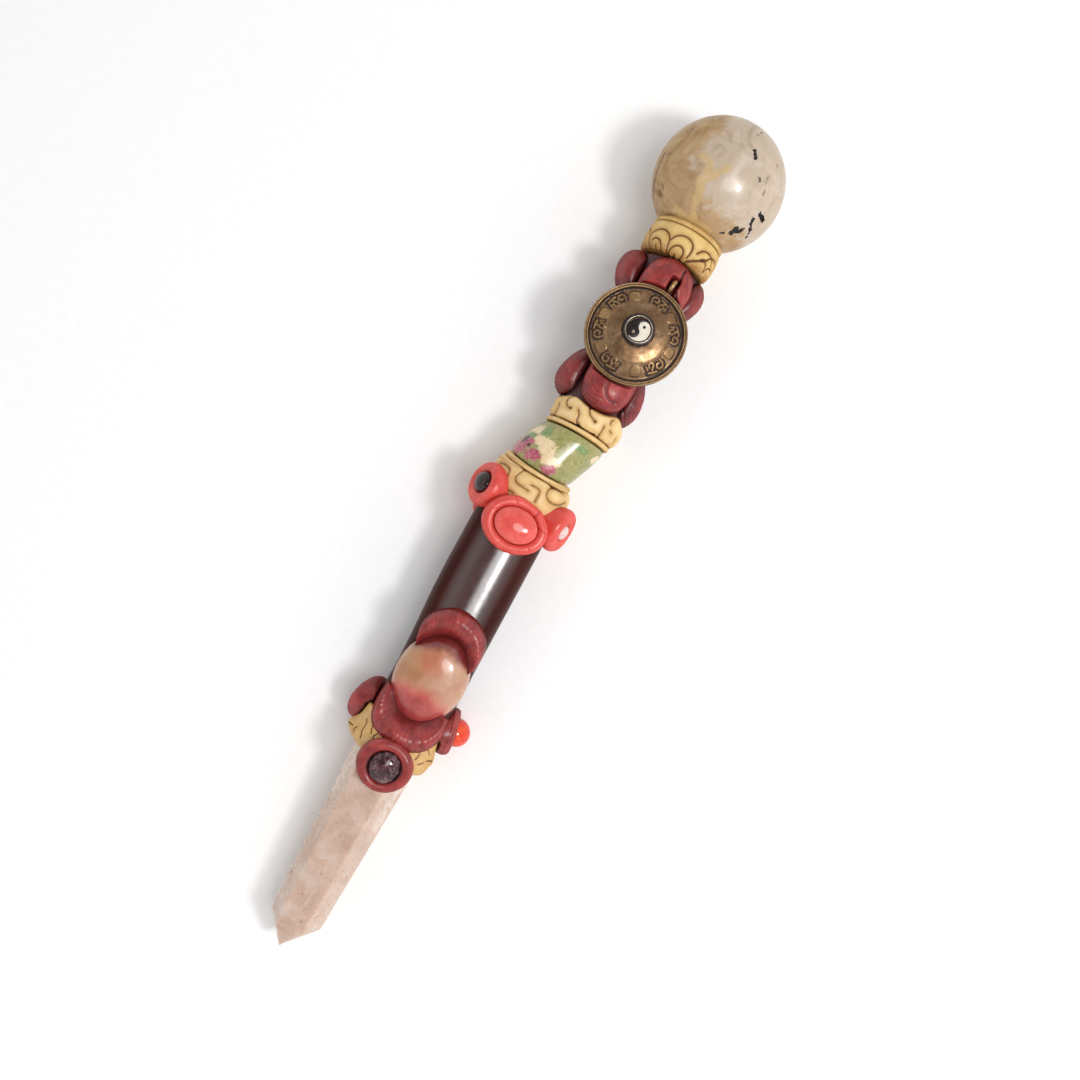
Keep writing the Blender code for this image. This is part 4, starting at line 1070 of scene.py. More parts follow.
def build_bezel(key, seed, rim_share=0.5, creases=(), dents=(), roll=0.0, hole_shade=0.9):
    """Clay cup round a stone: a skirt on the body below, a rolled rim and a seat for the stone.

    A crease has a direction in degrees, a slant, its start and end as shares of the reach and
    its strength; a dent has a direction, a width and a depth. A roll tilts the left half, and
    the last argument sets how dark the painted shade in the gap round the stone is.
    """
    half_l, half_w, height, stone_l, stone_w = SEATS[key][5:10]
    turn = full_turn(220)
    cx, cy = np.cos(turn), np.sin(turn)
    hole_l, hole_w = stone_l + 0.05, stone_w + 0.05
    rows = [("in", 0.02, 0.40), ("in", 0.90, 0.40), ("in", 0.985, 0.42), ("in", 1.0, 0.62), ("in", 1.0, 0.84),
            ("rim", 0.10, 0.95), ("rim", 0.28, 1.0), ("rim", rim_share, 1.03), ("rim", 0.78, 0.98),
            ("rim", 0.94, 0.82), ("out", 1.0, 0.62), ("out", 1.0, 0.45), ("out", 0.97, 0.25),
            ("out", 0.93, 0.04), ("foot", 0.90, 0.0), ("foot", 0.6, 0.0), ("foot", 0.02, 0.0)]
    table = []
    for kind, across, up in rows:
        if kind == "in":
            x, y = hole_l * across * cx, hole_w * across * cy
        elif kind == "rim":
            x = (hole_l + (half_l - hole_l) * across) * cx
            y = (hole_w + (half_w - hole_w) * across) * cy
        else:
            x, y = half_l * across * cx, half_w * across * cy
        below = np.minimum(ground_below(key, x, y), 0.35 * height)
        low = np.minimum(below + 0.15, 0.3 * height)
        if kind == "foot":
            z = below - (0.25 if across > 0.7 else 0.5)
        elif kind == "in":
            z = height * up + 0 * turn
        else:
            z = low + (height - low) * up
            z = np.where(up > 0.6, height * up, z)
        table.append(np.stack([x, y, z + 0 * x], -1)[0])
    dense = []
    for a, b in zip(table, table[1:]):
        steps = max(2, int(float(np.linalg.norm(b - a, axis=1).mean()) / 0.25))
        dense += [a + (b - a) * n / steps for n in range(steps)]
    dense.append(table[-1])
    rings = soften(np.array(dense), 7, keep=2)
    reach = np.hypot(rings[..., 0] / half_l, rings[..., 1] / half_w)
    degrees = np.degrees(np.arctan2(rings[..., 1] / half_w, rings[..., 0] / half_l))
    outside = step_up(reach, stone_l / half_l + 0.02, stone_l / half_l + 0.12)
    upper = step_up(rings[..., 2], 0.1 * height, 0.5 * height)
    for middle, wide, amount in dents:
        push = amount * bell(angle_gap(degrees, middle), wide) * upper * step_up(reach, 0.6, 0.9)
        rings[..., 0] -= push * np.cos(np.radians(degrees))
        rings[..., 1] -= push * np.sin(np.radians(degrees))
    rings = swell(rings, (0.20 * noise(rings, 7.0, seed) + 0.05 * noise(rings, 2.2, seed)) * outside)
    mask = np.zeros(reach.shape)
    for middle, slant, start, end, strength in creases:
        gap = angle_gap(degrees - middle - slant * (reach - start), 0.0)
        gap_mm = np.radians(np.abs(gap)) * reach * half_l
        span = step_up(reach, start - 0.04, start + 0.02) * (1 - step_up(reach, end - 0.02, end + 0.04))
        mask = np.maximum(mask, strength * bell(gap_mm, 0.24) * span * upper)
    rings = swell(rings, -0.30 * mask)
    rings[..., 2] += roll * np.maximum(rings[..., 1], 0.0) * upper
    # Painted shade round the stone's hole, inside it, at the foot on the body below and in the creases.
    hole = bell(reach - stone_l / half_l, 0.05) * (rings[..., 2] > 0.5 * height)
    inside = (reach < stone_l / half_l * 1.01).astype(float)
    foot = 1 - step_up(rings[..., 2] - ground_below(key, rings[..., 0], rings[..., 1]), 0.15, 0.8)
    groove = np.maximum.reduce([0.8 * mask, hole_shade * inside, 0.65 * foot * (reach > 0.7)])
    shade = np.maximum.reduce([0.8 * hole, 0.7 * foot, 0.5 * mask])
    look = FAMILIES[key.partition("_")[0]][0]
    clay_piece(node_name(key, "bezel"), rings, groove, shade, look, seat_matrix(key), closed=False)


STONE_GROW = 0.1


def build_stone(key, look, rise=0.0, lumps=0.04, ball=False):
    """Polished cabochon, or a bead, standing in its bezel's seat."""
    height_cup, half_l, half_w, height = SEATS[key][7:]
    half_l, half_w = half_l + STONE_GROW, half_w + STONE_GROW
    base = height_cup - 2.4 + 0.3
    turn = full_turn(120)
    girdle = height - half_l if ball else min(1.4, 0.4 * height)
    share = np.concatenate([np.linspace(0.02, 0.85, 26), np.linspace(0.87, 1.0, 12)])
    top = girdle + (height - girdle) * np.sqrt(1 - share ** 2.0)
    rows = list(zip(share, top)) + [(0.99, 0.6 * girdle), (0.93, 0.08), (0.90, 0.0), (0.02, 0.0)]
    share, up = columns(rows)
    rings = np.stack([half_l * share * np.cos(turn), half_w * share * np.sin(turn),
                      base + rise + up + 0 * turn], 2)
    rings = swell(rings, lumps * noise(rings, 2.5, 41))
    piece(node_name(key, "stone"), rings, {}, look, seat_matrix(key))


def dark_stone(name, glinting):
    p = Paint(name, Roughness=0.10, Specular_IOR_Level=0.4, Coat_Weight=0.1, Coat_Roughness=0.03)
    cloud = p.noise(2.2, 6.0, 0.68, 1.0)
    # The glinting stone's lighter cloud tones stand in for reflections: painted reflections.
    tones = (rgb(62, 36, 42), rgb(126, 92, 98), rgb(126, 92, 98))
    if not glinting:
        tones = (rgb(36, 20, 22), rgb(52, 32, 34), rgb(70, 46, 48))
    colour = p.ramp(cloud, (0.32, rgb(30, 14, 18)), *zip((0.48, 0.62, 0.78), tones))
    # Pale spots: painted glints, stronger on the glinting stone.
    glints = p.noise(0.7, 3.0, 0.7)
    colour = p.spots(colour, rgb(176, 146, 150), glints, 0.60, 0.75, 0.45 if glinting else 0.15)
    p.link(colour, "Base Color")
    p.bumps((p.noise(0.8, 4.0, 0.6), 0.03, 0.30))
    return p.material, "garnet"


def build_bezels():
    build_bezel("tip_front", 43, 0.55, dents=((160, 40, 0.15), (-20, 40, 0.2)))
    build_bezel("tip_left", 47, 0.7)
    build_bezel("tip_right", 53, 0.7, roll=-0.35)
    build_bezel("coral_front", 59, 0.55, hole_shade=0.2,
                creases=((-32, 20, 0.62, 0.98, 0.8), (-64, -30, 0.66, 0.96, 0.7), (22, 16, 0.70, 1.0, 0.7),
                         (-128, 10, 0.8, 1.0, 0.5), (165, 0, 0.74, 1.0, 0.35), (75, 40, 0.72, 0.95, 0.4)),
                dents=((-8, 16, 0.35), (-48, 14, 0.3), (100, 20, 0.2), (-150, 24, 0.2)))
    build_bezel("coral_left", 61, creases=((-140, 20, 0.75, 1.0, 0.5),), dents=((30, 30, 0.3),))
    build_bezel("coral_right", 67, 0.45, creases=((150, 20, 0.7, 1.0, 0.5), (30, 20, 0.75, 1.0, 0.4)),
                dents=((0, 30, 0.3),))
    build_bezel("coral_back_left", 71)
    build_bezel("coral_back_right", 73)


def build_stones():
    dark = dark_stone("garnet_dark", False)
    tones = (rgb(176, 34, 14), rgb(214, 52, 24), rgb(232, 74, 34), rgb(240, 104, 56))
    carnelian = polished("carnelian", tones, 3.0, 0.06, Subsurface_Weight=0.3, Subsurface_Scale=0.003)
    tones = (rgb(206, 72, 66), rgb(220, 86, 78), rgb(230, 102, 92))
    coral = polished("coral_stone", tones, 4.0, 0.14, Subsurface_Weight=0.1, Subsurface_Scale=0.002)
    tones = (rgb(206, 140, 128), rgb(224, 184, 172), rgb(214, 204, 200), rgb(236, 206, 190))
    opal = polished("opal", tones, 1.6, 0.05, Subsurface_Weight=0.2, Subsurface_Scale=0.002)
    build_stone("tip_front", dark_stone("garnet_flecked", True))
    build_stone("tip_left", dark)
    build_stone("tip_right", carnelian, ball=True, lumps=0.02)
    build_stone("coral_front", coral, rise=0.8)
    build_stone("coral_left", dark)
    build_stone("coral_right", opal)
    build_stone("coral_back_left", dark)
    build_stone("coral_back_right", dark)


# ---------------------------------------------------------------- quartz and tip collar

QUARTZ_END = 72.0
QUARTZ_AXIS = ((0.0, 0.75), (QUARTZ_END, 2.1))
TIP_Y = 1.9


def quartz_planes():
    """Outward normals and distances of the point's faces."""
    def corner(station, angle):
        share = (station - 8.5) / 63.5
        radius, a = 8.3 + 2.4 * share, math.radians(angle)
        y = 0.75 + 1.35 * station / 72
        return np.array([station, y + radius * math.sin(a), radius * math.cos(a)])

    angles = (32, 91, 149, 212, 270, 329)
    shifts = (-0.8, 0.4, 0.2, 1.2, 1.4, -0.4)
    low = [corner(8.5 + shift, a) for a, shift in zip(angles, shifts)]
    high = [corner(QUARTZ_END, a) for a in angles]
    front, back = np.array([0.0, 0.95, 1.6]), np.array([0.4, 0.55, -1.7])
    faces = [(low[i], low[(i + 1) % 6], (high[i] + high[(i + 1) % 6]) / 2) for i in range(6)]
    middle = (front + back) / 2
    peaks = (front, middle, back, back, middle, front)
    faces += [(low[i], low[(i + 1) % 6], peak) for i, peak in enumerate(peaks)]
    faces.append((low[1] + (0.2, -0.25, 0.3), low[1] + (0.2, -0.25, -0.3), high[1] + (0.0, -0.75, 0.0)))
    planes = []
    for a, b, c in faces:
        n = np.cross(b - a, c - a)
        n /= np.linalg.norm(n)
        n = n if n @ (a - (36.0, 1.4, 0.0)) > 0 else -n
        planes.append((n, n @ a))
    return planes


def quartz_radius(station, angle):
    """Distance of the quartz skin from its axis, a soft minimum that rounds the edges slightly."""
    sharpness = 5.0
    axis_y = np.interp(station, *zip(*QUARTZ_AXIS))
    total = 0.0
    for n, d in quartz_planes():
        towards = n[1] * np.sin(angle) + n[2] * np.cos(angle)
        room = d - n[0] * station - n[1] * axis_y
        reach = np.where(towards > 1e-3, room / np.maximum(towards, 1e-3), 1e3)
        total = total + np.exp(-sharpness * np.minimum(reach, 60.0))
    return np.maximum(-np.log(total) / sharpness, 0.02)


def quartz_look():
    """Look of milky quartz with veils, rusty and pink clouds, a few brown specks and painted highlights along
    two facet edges.
    """
    p = Paint("quartz", Specular_IOR_Level=0.5, Subsurface_Weight=0.55, Subsurface_Scale=0.004,
              Subsurface_Radius=(1.0, 0.75, 0.6), Transmission_Weight=0.22, IOR=1.54)
    along = p.stretched((0.14, 1.0, 1.0))
    cloud = p.noise(7.0, 5.0, 0.6, 0.6)
    veil = p.noise(2.6, 5.0, 0.65, 0.5, along)
    colour = p.ramp(cloud, (0.30, rgb(204, 174, 154)), (0.5, rgb(218, 190, 172)), (0.7, rgb(226, 204, 190)))
    colour = p.spots(colour, rgb(236, 222, 212), veil, 0.56, 0.74, 0.65)
    colour = p.spots(colour, rgb(200, 170, 148), veil, 0.44, 0.28, 0.45)
    colour = p.spots(colour, rgb(206, 164, 134), p.noise(9.0, 5.0, 0.65, 0.8), 0.58, 0.74, 0.5)
    colour = p.spots(colour, rgb(214, 176, 168), p.noise(5.5, 4.0, 0.6, 0.5), 0.6, 0.75, 0.4)
    colour = p.mix(p.times(p.value("brown"), 0.55), colour, rgb(196, 152, 120))
    colour = p.mix(p.times(p.value("pale"), 0.6), colour, rgb(228, 212, 204))
    # Painted highlights along two facet edges.
    light = p.times(p.value("edge"), p.remap(p.noise(2.2, 4.0, 0.6), 0.3, 0.6))
    colour = p.mix(light, colour, rgb(240, 224, 212))
    jag = p.remap(p.noise(0.5, 3.0, 0.7), 0.2, 0.8, -0.2, 0.2)
    stain = p.remap(p.plus(p.value("speck"), jag), -0.15, 0.3)
    colour = p.mix(p.times(stain, 0.55), colour, rgb(112, 88, 74))
    colour = p.spots(colour, rgb(150, 118, 98), p.noise(0.5, 2.0, 0.6), 0.70, 0.8, 0.35)
    p.link(colour, "Base Color")
    p.link(p.remap(p.noise(3.0, 4.0, 0.6), 0.35, 0.7, 0.20, 0.36), "Roughness")
    across = p.noise(0.7, 3.0, 0.6, 0.0, p.stretched((1.0, 0.06, 0.06)))
    p.bumps((across, 0.05, 0.22), (p.noise(1.8, 4.0), 0.06, 0.20))
    return p.material, "quartz"


def build_quartz():
    stretches = ((0.0, 1.5, 0.08), (1.5, 30.0, 0.2), (30.0, 72.01, 0.35))
    stations = np.concatenate([np.arange(*stretch) for stretch in stretches])[:, None]
    angle = full_turn(300)
    r = quartz_radius(stations, angle)
    y = np.interp(stations, *zip(*QUARTZ_AXIS))
    rings = lathe(stations, y, r, angle)
    body = step_up(stations, 4.0, 12.0) + 0 * r
    lines = noise(np.stack([stations + 0 * r, 0.05 * r, 0 * r], 2), 1.1, 81)
    lines += 0.6 * noise(np.stack([stations + 0 * r, 0.1 * r, 0 * r], 2), 0.5, 82)
    growth = 0.022 * lines * body * step_up(noise(rings, 14.0, 83), -0.4, 0.3)
    rings = swell(rings, growth + 0.10 * noise(rings, 12.0, 86) * body)
    seen = [(19.0, 9.0, 0.50), (16.3, 2.7, 0.42), (12.7, -0.1, 0.30), (8.8, -1.2, 0.45), (24.5, 0.8, 0.34),
            (26.0, -6.5, 0.36), (25.2, -5.9, 0.25), (22.0, -3.7, 0.30), (37.4, 10.3, 0.35), (37.5, 1.6, 0.3),
            (9.4, -0.6, 0.2), (15.6, 2.3, 0.2), (8.2, -0.4, 0.2), (30.1, 7.6, 0.3)]
    speck = np.full(r.shape, -9.0)
    for station, side, reach in seen:
        s0, y0 = under_eye(station, side, 7.6)
        gap = np.hypot(rings[..., 0] - s0, rings[..., 1] - y0)
        speck = np.where(rings[..., 2] > 0, np.maximum(speck, reach - gap), speck)
    s, side = rings[..., 0], rings[..., 1]
    brown = bell(s - 6.3, 1.1) * step_up(side, -1.0, 3.0) * (rings[..., 2] > 0)
    pale = bell(np.hypot((s - 12.0) / 3.5, (side - 6.0) / 2.0), 1.0) * (rings[..., 2] > 0)
    # Bands along two facet edges on the sides, where the highlights are painted.
    edge = bell(side + 6.6, 1.1) * step_up(s, 38.0, 48.0) + bell(side - 10.0, 1.3) * step_up(s, 44.0, 54.0)
    fields = {"speck": speck, "brown": brown, "pale": pale, "edge": edge}
    piece("quartz_point", rings, fields, quartz_look())


def collar_bore(s, angle):
    """Inner radius of the tip collar: the quartz, slightly overlapped, and then the handle."""
    return np.where(s < QUARTZ_END, quartz_radius(np.minimum(s, QUARTZ_END), angle) - 0.15, 11.05)


def build_tip_collar():
    outside = resample([(64.9, 0.0), (64.7, 0.55), (65.3, 0.9), (66.5, 1.0), (75.4, 1.0), (76.4, 0.92),
                        (76.7, 0.6), (76.6, 0.0)], 0.12, 10)
    angle = full_turn(380)
    s = outside[:, 0][:, None] + 0 * angle
    degrees = np.degrees(angle)
    base = np.interp(s, (64.5, 66.0, 69.5, 74.0, 76.6), (12.2, 12.4, 12.6, 12.0, 11.7))
    left, right = angle_gap(degrees, 98), angle_gap(degrees, -96)
    base = base + 2.3 * bell(left, 34) * bell(s - 68.2, 2.6) + 1.0 * bell(right, 34) * bell(s - 70.2, 3.2)
    base = base + 0.5 * bell(degrees + 160, 20) * bell(s - 69.0, 3.0)
    inner = collar_bore(s, angle)
    r = inner + (base - inner) * outside[:, 1][:, None]
    back = np.linspace(76.4, 65.1, 40)[:, None] + 0 * angle
    s, r = np.vstack([s, back]), np.vstack([r, collar_bore(back, angle)])
    s = s + 1.2 * bell(left, 45) * (1 - step_up(s, 65.5, 70.0))
    rings = lathe(s, TIP_Y, r, angle)
    radius = 13.2
    seen = [
        [(65.6, 11.3), (66.8, 11.6), (68.0, 12.0), (69.4, 12.1), (70.6, 12.4), (71.6, 13.1)],
        [(68.3, 9.2), (69.2, 9.7), (70.2, 10.0), (72.2, 10.2)],
        [(67.0, 7.6), (68.2, 8.0), (69.2, 7.4)],
        [(67.9, 14.4), (68.3, 15.2), (68.6, 16.2)],
        [(66.2, 13.6), (67.0, 13.9), (68.2, 13.6)],
        [(68.0, -7.0), (69.2, -7.5), (70.2, -7.5), (71.6, -7.2)],
        [(69.4, -10.2), (70.0, -10.8), (70.4, -11.5)],
        [(67.2, -8.6), (68.2, -9.4), (68.8, -9.6)],
        [(71.6, -10.4), (72.4, -9.8), (73.6, -9.6)],
    ]
    lines = wrapped(seen, TIP_Y, radius)
    turn = 2 * math.pi * radius
    back_lines = turned_about(flipped(lines[:5]), 0.5 * turn - 2) + turned_about(lines[:6], 0.52 * turn)
    back_lines += turned_about(back_lines, -turn)
    chart = (angle * radius + 0 * s, s)
    rings = handmade(rings, 0.16, 0.04, 21)
    rings, groove, shade = carve(rings, chart, lines + back_lines, 0.34, 0.26)
    # Painted shade: over the whole collar, stronger at its edges against the quartz and the handle, and dark
    # on the hidden inside.
    inside = (np.arange(len(s)) >= len(outside))[:, None] + 0 * s
    edge = bell(s - 64.9, 0.5) + 0.6 * bell(s - 76.6, 0.4)
    groove = np.maximum.reduce([0.9 * groove, 0.7 * edge, inside])
    clay_piece("tip_collar", rings, groove, np.maximum.reduce([shade, edge, 0.75 + 0 * s]), CREAM)


# ---------------------------------------------------------------- waist and petals

# Directions of the petals in degrees.
PETAL_ANGLES = {"front": -8, "left": 82, "right": -98, "back": 172}
# Stations of a petal's tip and root, for its row and whether it is a lobe.
PETAL_SPANS = {(-1, False): (184.6, 204.4), (-1, True): (184.6, 201.2),
               (1, False): (234.2, 213.6), (1, True): (234.2, 219.6)}
PETAL_SEAT = 9.35
PETAL_R = 13.0
RIM_BACK = 10.9
BAIL_PLACE = (226.2, -3.0, 12.5)


def petal_rings(row, middle, half, crown, bow, spin, lobe):
    """Plump petal as loops across its width; row is -1 for the lower row and 1 for the upper.

    Middle and half are its direction and half width in degrees, crown its thickness, bow how
    far its corners stand back and spin how much one side is thicker. A lobe falls back to the
    waist in a round, the others run on under the medallion.
    """
    t = np.sin(np.linspace(-1, 1, 170) * math.pi / 2)[:, None]
    edge = np.linspace(0, 0.2, 40)[:-1] ** 1.5 * 0.2 ** -0.5
    u = np.concatenate([edge, np.linspace(0.2, 1.0, 100)])[None, :]
    tip, root = PETAL_SPANS[row, lobe]
    start = tip - row * bow * np.abs(t) ** 2.3
    side_round = np.clip(1 - np.abs(t) ** 3.0, 0, 1) ** 0.55
    rise = np.clip(1 - (1 - np.minimum(u / 0.42, 1.0)) ** 2.3, 0, 1) ** 0.62
    sag = 1 - 0.30 * np.maximum(u - 0.3, 0)
    if lobe:
        sag = 1 - 0.92 * (np.maximum(u - 0.38, 0) / 0.62) ** 2
    tilt = 1 + spin * t
    outer_s = start + (root - start) * u
    outer_r = PETAL_SEAT + 0.15 + (0.35 + crown * side_round * tilt) * rise * sag
    back = np.linspace(0.985, 0.015, 22)[None, :]
    inner_s = start + (root - start) * back
    s = np.hstack([outer_s, inner_s])
    r = np.hstack([outer_r, PETAL_SEAT + 0 * inner_s])
    flare = half * (0.84 + 0.16 * np.minimum(np.hstack([u, back]) / 0.35, 1.0) ** 0.6)
    a = np.radians(middle + flare * t)
    rings = lathe(s, 0.0, r, a)
    outside = np.hstack([np.ones(u.shape), np.zeros(back.shape)]) + 0 * s
    return rings, a, outside


def petal_piece(key, row, middle, crown, lines, folds, seed, bow=2.4, half=45.5, spin=0.0):
    rings, a, outside = petal_rings(row, middle, half, crown, bow, spin, key != "front")
    chart = (a * PETAL_R, rings[..., 0])
    rings = handmade(rings, 0.16, 0.04, seed)
    fine = bell(distance(*chart, lines), 0.20) * outside
    deep = bell(distance(*chart, folds), 0.42) * outside if folds else 0 * fine
    rings = swell(rings, -0.15 * fine - 0.40 * deep)
    if key == "front":
        s, y, z = (rings[..., k] for k in range(3))
        reach = np.hypot(s - RIM_CENTRE.x, y - RIM_CENTRE.y)
        under = 1 - step_up(reach, 15.3, 15.9)
        z = z - under * np.maximum(z - RIM_BACK, 0)
        if row > 0:
            bx, by, _ = BAIL_PLACE
            near = (1 - step_up(np.abs(y - by), 1.0, 1.9)) * (1 - step_up(np.abs(s - bx + 0.3), 2.3, 3.4))
            z = z - near * np.maximum(z - 9.7, 0)
        rings[..., 2] = z
    # Painted shade: in the incised lines and folds, low down by the waist, on the lower flanks, and more on
    # the side and back petals.
    reach = np.hypot(rings[..., 1], rings[..., 2])
    low = 1 - step_up(reach, 9.6, 10.6)
    flank = 0.9 * (1 - step_up(reach, 10.2, 13.4)) + (0.0 if key == "front" else 0.35)
    groove = np.maximum.reduce([0.45 * fine, (0.9 if row > 0 else 0.45) * deep, 0.85 * low])
    shade = np.maximum.reduce([0.5 * fine, 0.7 * deep, 0.9 * low, np.minimum(flank, 1.0)])
    name = ("lower" if row < 0 else "upper") + "_petal_" + key
    clay_piece(name, rings, groove, shade, MAROON, closed=False)


def build_petals():
    arcs = [[(196.6, 7.4), (193.5, 7.6), (190.8, 6.8), (188.9, 4.6), (187.9, 1.6), (187.8, -1.0)],
            [(196.5, 6.3), (193.6, 6.5), (191.4, 5.7), (189.8, 3.8), (189.0, 1.2), (188.9, -1.8)],
            [(196.3, 5.2), (194.0, 5.3), (192.2, 4.6), (190.9, 3.0), (190.2, 0.8), (190.0, -2.0)],
            [(196.2, 4.1), (194.3, 4.1), (192.9, 3.4), (191.9, 2.1), (191.3, 0.2)],
            [(196.1, 2.9), (194.7, 2.8), (193.7, 2.2), (192.9, 1.2)],
            [(188.5, -4.0), (189.2, -5.7), (190.4, -7.2), (192.6, -8.6), (196.6, -9.3)],
            [(187.2, 7.0), (186.9, 4.0), (186.9, 1.0)]]
    swirl = [[(196.2, -0.9), (194.6, -0.9), (193.0, -1.1), (191.6, -2.0), (190.8, -3.6), (190.8, -5.6)],
             [(190.2, -10.1), (192.8, -10.3), (196.6, -10.2)]]
    creases = [[(231.0, 2.5), (233.0, 2.5), (236.2, 2.3)], [(231.4, 1.5), (233.2, 1.5), (236.4, 1.3)],
               [(232.0, 0.6), (233.6, 0.5), (236.2, 0.5)], [(225.2, -11.2), (229.5, -10.6), (233.0, -9.4)],
               [(228.6, -7.9), (231.5, -6.5), (234.6, -5.3)], [(229.0, 8.0), (232.5, 7.4), (234.4, 6.6)]]
    fold = [[(230.4, -4.2), (232.4, -4.2), (234.6, -4.2), (236.4, -4.8)],
            [(228.5, -4.7), (226.6, -6.0), (225.4, -8.0)]]

    lower, upper, swirl, fold = (wrapped(marks, 0.0, PETAL_R) for marks in (arcs, creases, swirl, fold))
    petal_piece("front", -1, PETAL_ANGLES["front"], 4.0, lower, swirl, 91, bow=2.6)
    petal_piece("front", 1, PETAL_ANGLES["front"], 4.4, upper, fold, 93, bow=2.2)
    quarter = math.pi / 2 * PETAL_R
    seeds = iter(range(101, 120))
    for key, turns in (("left", 1), ("right", -1), ("back", 2)):
        shift = quarter * turns
        lines = turned_about(flipped(lower) if turns == 1 else lower, shift)
        folds = turned_about(swirl[:1], shift) if turns != 1 else []
        half = 36.0 if key == "left" else 40.0
        crown = 3.5 if key == "right" else 4.5
        middle = PETAL_ANGLES[key] + 2
        petal_piece(key, -1, middle, crown, lines, folds, next(seeds), half=half, spin=0.03 * turns)
        petal_piece(key, 1, middle, crown + 0.3, turned_about(upper, shift), [], next(seeds), 2.6, half)


def build_waist():
    profile = ((184.2, 8.7), (185.2, 9.2), (233.4, 9.2), (234.4, 8.7))
    sections = [(station, 0.0, 0.0, r) for station, r in profile]
    rings, _ = round_rings(sections, 0.45, 140, 2)
    inside = np.hypot(rings[..., 1], rings[..., 2]) < 7.5
    dents = np.where(inside, 0.0, 0.10 * noise(rings, 4.0, 121) - 0.10)
    # Painted shade: the core shows only in the gaps between the petals, so it is painted dark all over.
    clay_piece("waist_core", swell(rings, dents), 0.62, 1.0, MAROON)


def build_rod():
    ends = resample([(0.0, 0.05), (0.0, ROD_R - 0.4), (0.4, ROD_R), (1.0, ROD_R)], 0.2, 1)
    line = [(ROD_START[0] + a, r) for a, r in ends] + [(ROD_END[0] - a, r) for a, r in ends[::-1]]
    s, r = columns(line)
    rings = lathe(s, rod_y(s), r, full_turn(48))
    p = Paint("drawn_steel", Metallic=1.0, Roughness=0.35)
    lines = p.noise(0.3, 3.0, 0.6, 0.0, p.stretched((0.02, 1.0, 1.0)))
    p.link(p.ramp(lines, (0.3, rgb(150, 152, 156)), (0.7, rgb(186, 188, 190))), "Base Color")
    p.bumps((lines, 0.01, 0.2))
    piece("core_rod", rings, {}, (p.material, "core_steel"))


def build_pad():
    """The clay between the waist and the medallion's back."""
    x, y = RIM_CENTRE.x + 0.1, RIM_CENTRE.y
    angle = full_turn(90)
    rows = resample([(9.3, 0.05), (9.3, 4.8), (9.6, 5.0), (10.6, 5.0), (10.9, 4.8), (10.9, 0.05)], 0.2, 2)
    z, r = columns(rows)
    rings = np.stack([x + r * np.cos(angle), y + r * np.sin(angle), z + 0 * angle], 2)
    waist = np.sqrt(np.maximum(9.25 ** 2 - rings[..., 1] ** 2, 0))
    foot = 1 - step_up(rings[..., 2], 9.4, 10.4)
    rings[..., 2] += (waist - 9.25) * foot
    rings = swell(rings, 0.05 * noise(rings, 2.0, 123))
    # Painted shade over the whole pad, which lies under the medallion.
    clay_piece("medallion_pad", rings, 0.0, 0.4, MAROON, closed=False)


# ---------------------------------------------------------------- medallion

# Radii and heights of the plate's dome above the medallion's back.
PLATE_PROFILE = ((0.0, 4.3), (4.8, 4.3), (6.6, 4.05), (8.6, 3.45), (10.2, 2.8), (11.5, 2.2), (12.6, 1.6),
                 (13.8, 1.15))
MEDALLION_BACK = 11.2
# Radii of the rim's two wires and of the groove between them.
WIRES = (14.02, 14.80)
WIRE_SPLIT = 14.42
# The boss stands off the plate's middle, towards the sphere, on this height.
BOSS_SHIFT = 0.7
BOSS_FLOOR = 4.6
ENAMEL_TURN = 50.0


def medallion_point(r, turn, z):
    """Point of the medallion: radius, direction (0 towards the sphere) and height over its back."""
    x = RIM_CENTRE.x + r * np.cos(turn)
    y = RIM_CENTRE.y + r * np.sin(turn)
    return np.stack(np.broadcast_arrays(x, y, MEDALLION_BACK + z), -1)


def brass():
    """Look of antiqued brass, worn bright on its high parts and nearly black in its recesses."""
    p = Paint("antique_brass", Specular_IOR_Level=0.5)
    blotch = p.noise(4.5, 5.0, 0.62, 0.6)
    colour = p.ramp(blotch, (0.30, rgb(118, 88, 62)), (0.48, rgb(134, 103, 74)), (0.60, rgb(148, 118, 88)),
                    (0.74, rgb(172, 146, 114)))
    colour = p.spots(colour, rgb(92, 64, 44), p.noise(1.6, 5.0, 0.68, 0.4), 0.58, 0.74, 0.75)
    deep = rgb(38, 22, 16)
    colour = p.spots(colour, deep, p.noise(0.55, 3.0, 0.65), 0.62, 0.74, 0.6)
    # Darkening by the recess field: the patina in the hollows of the antiqued brass, and darker along the
    # plate's edge, round the boss and towards the rim.
    dark_recess = p.plus(p.value("recess"), p.remap(p.noise(0.8, 3.0, 0.6), 0.3, 0.7, -0.22, 0.22))
    colour = p.mix(p.remap(dark_recess, 0.25, 0.75), colour, deep)
    gilt = p.times(p.value("gilt"), p.remap(p.noise(1.4, 3.0), 0.2, 0.6, 0.4, 1.0))
    colour = p.mix(gilt, colour, rgb(188, 156, 108))
    p.link(colour, "Base Color")
    p.link(p.remap(dark_recess, 0.2, 0.8, 0.9, 0.15), "Metallic")
    rough = p.remap(p.noise(2.2, 4.0, 0.65), 0.3, 0.7, 0.30, 0.46)
    p.link(p.math("MAXIMUM", rough, p.remap(dark_recess, 0.2, 0.8, 0.0, 0.65)), "Roughness")
    scratches = p.noise(0.7, 4.0, 0.7, 0.2, p.stretched((1.0, 0.10, 1.0)))
    p.bumps((p.noise(2.2, 3.0), 0.08, 0.35), (scratches, 0.02, 0.30), (p.noise(0.4, 3.0), 0.03, 0.35))
    return p.material, "brass"


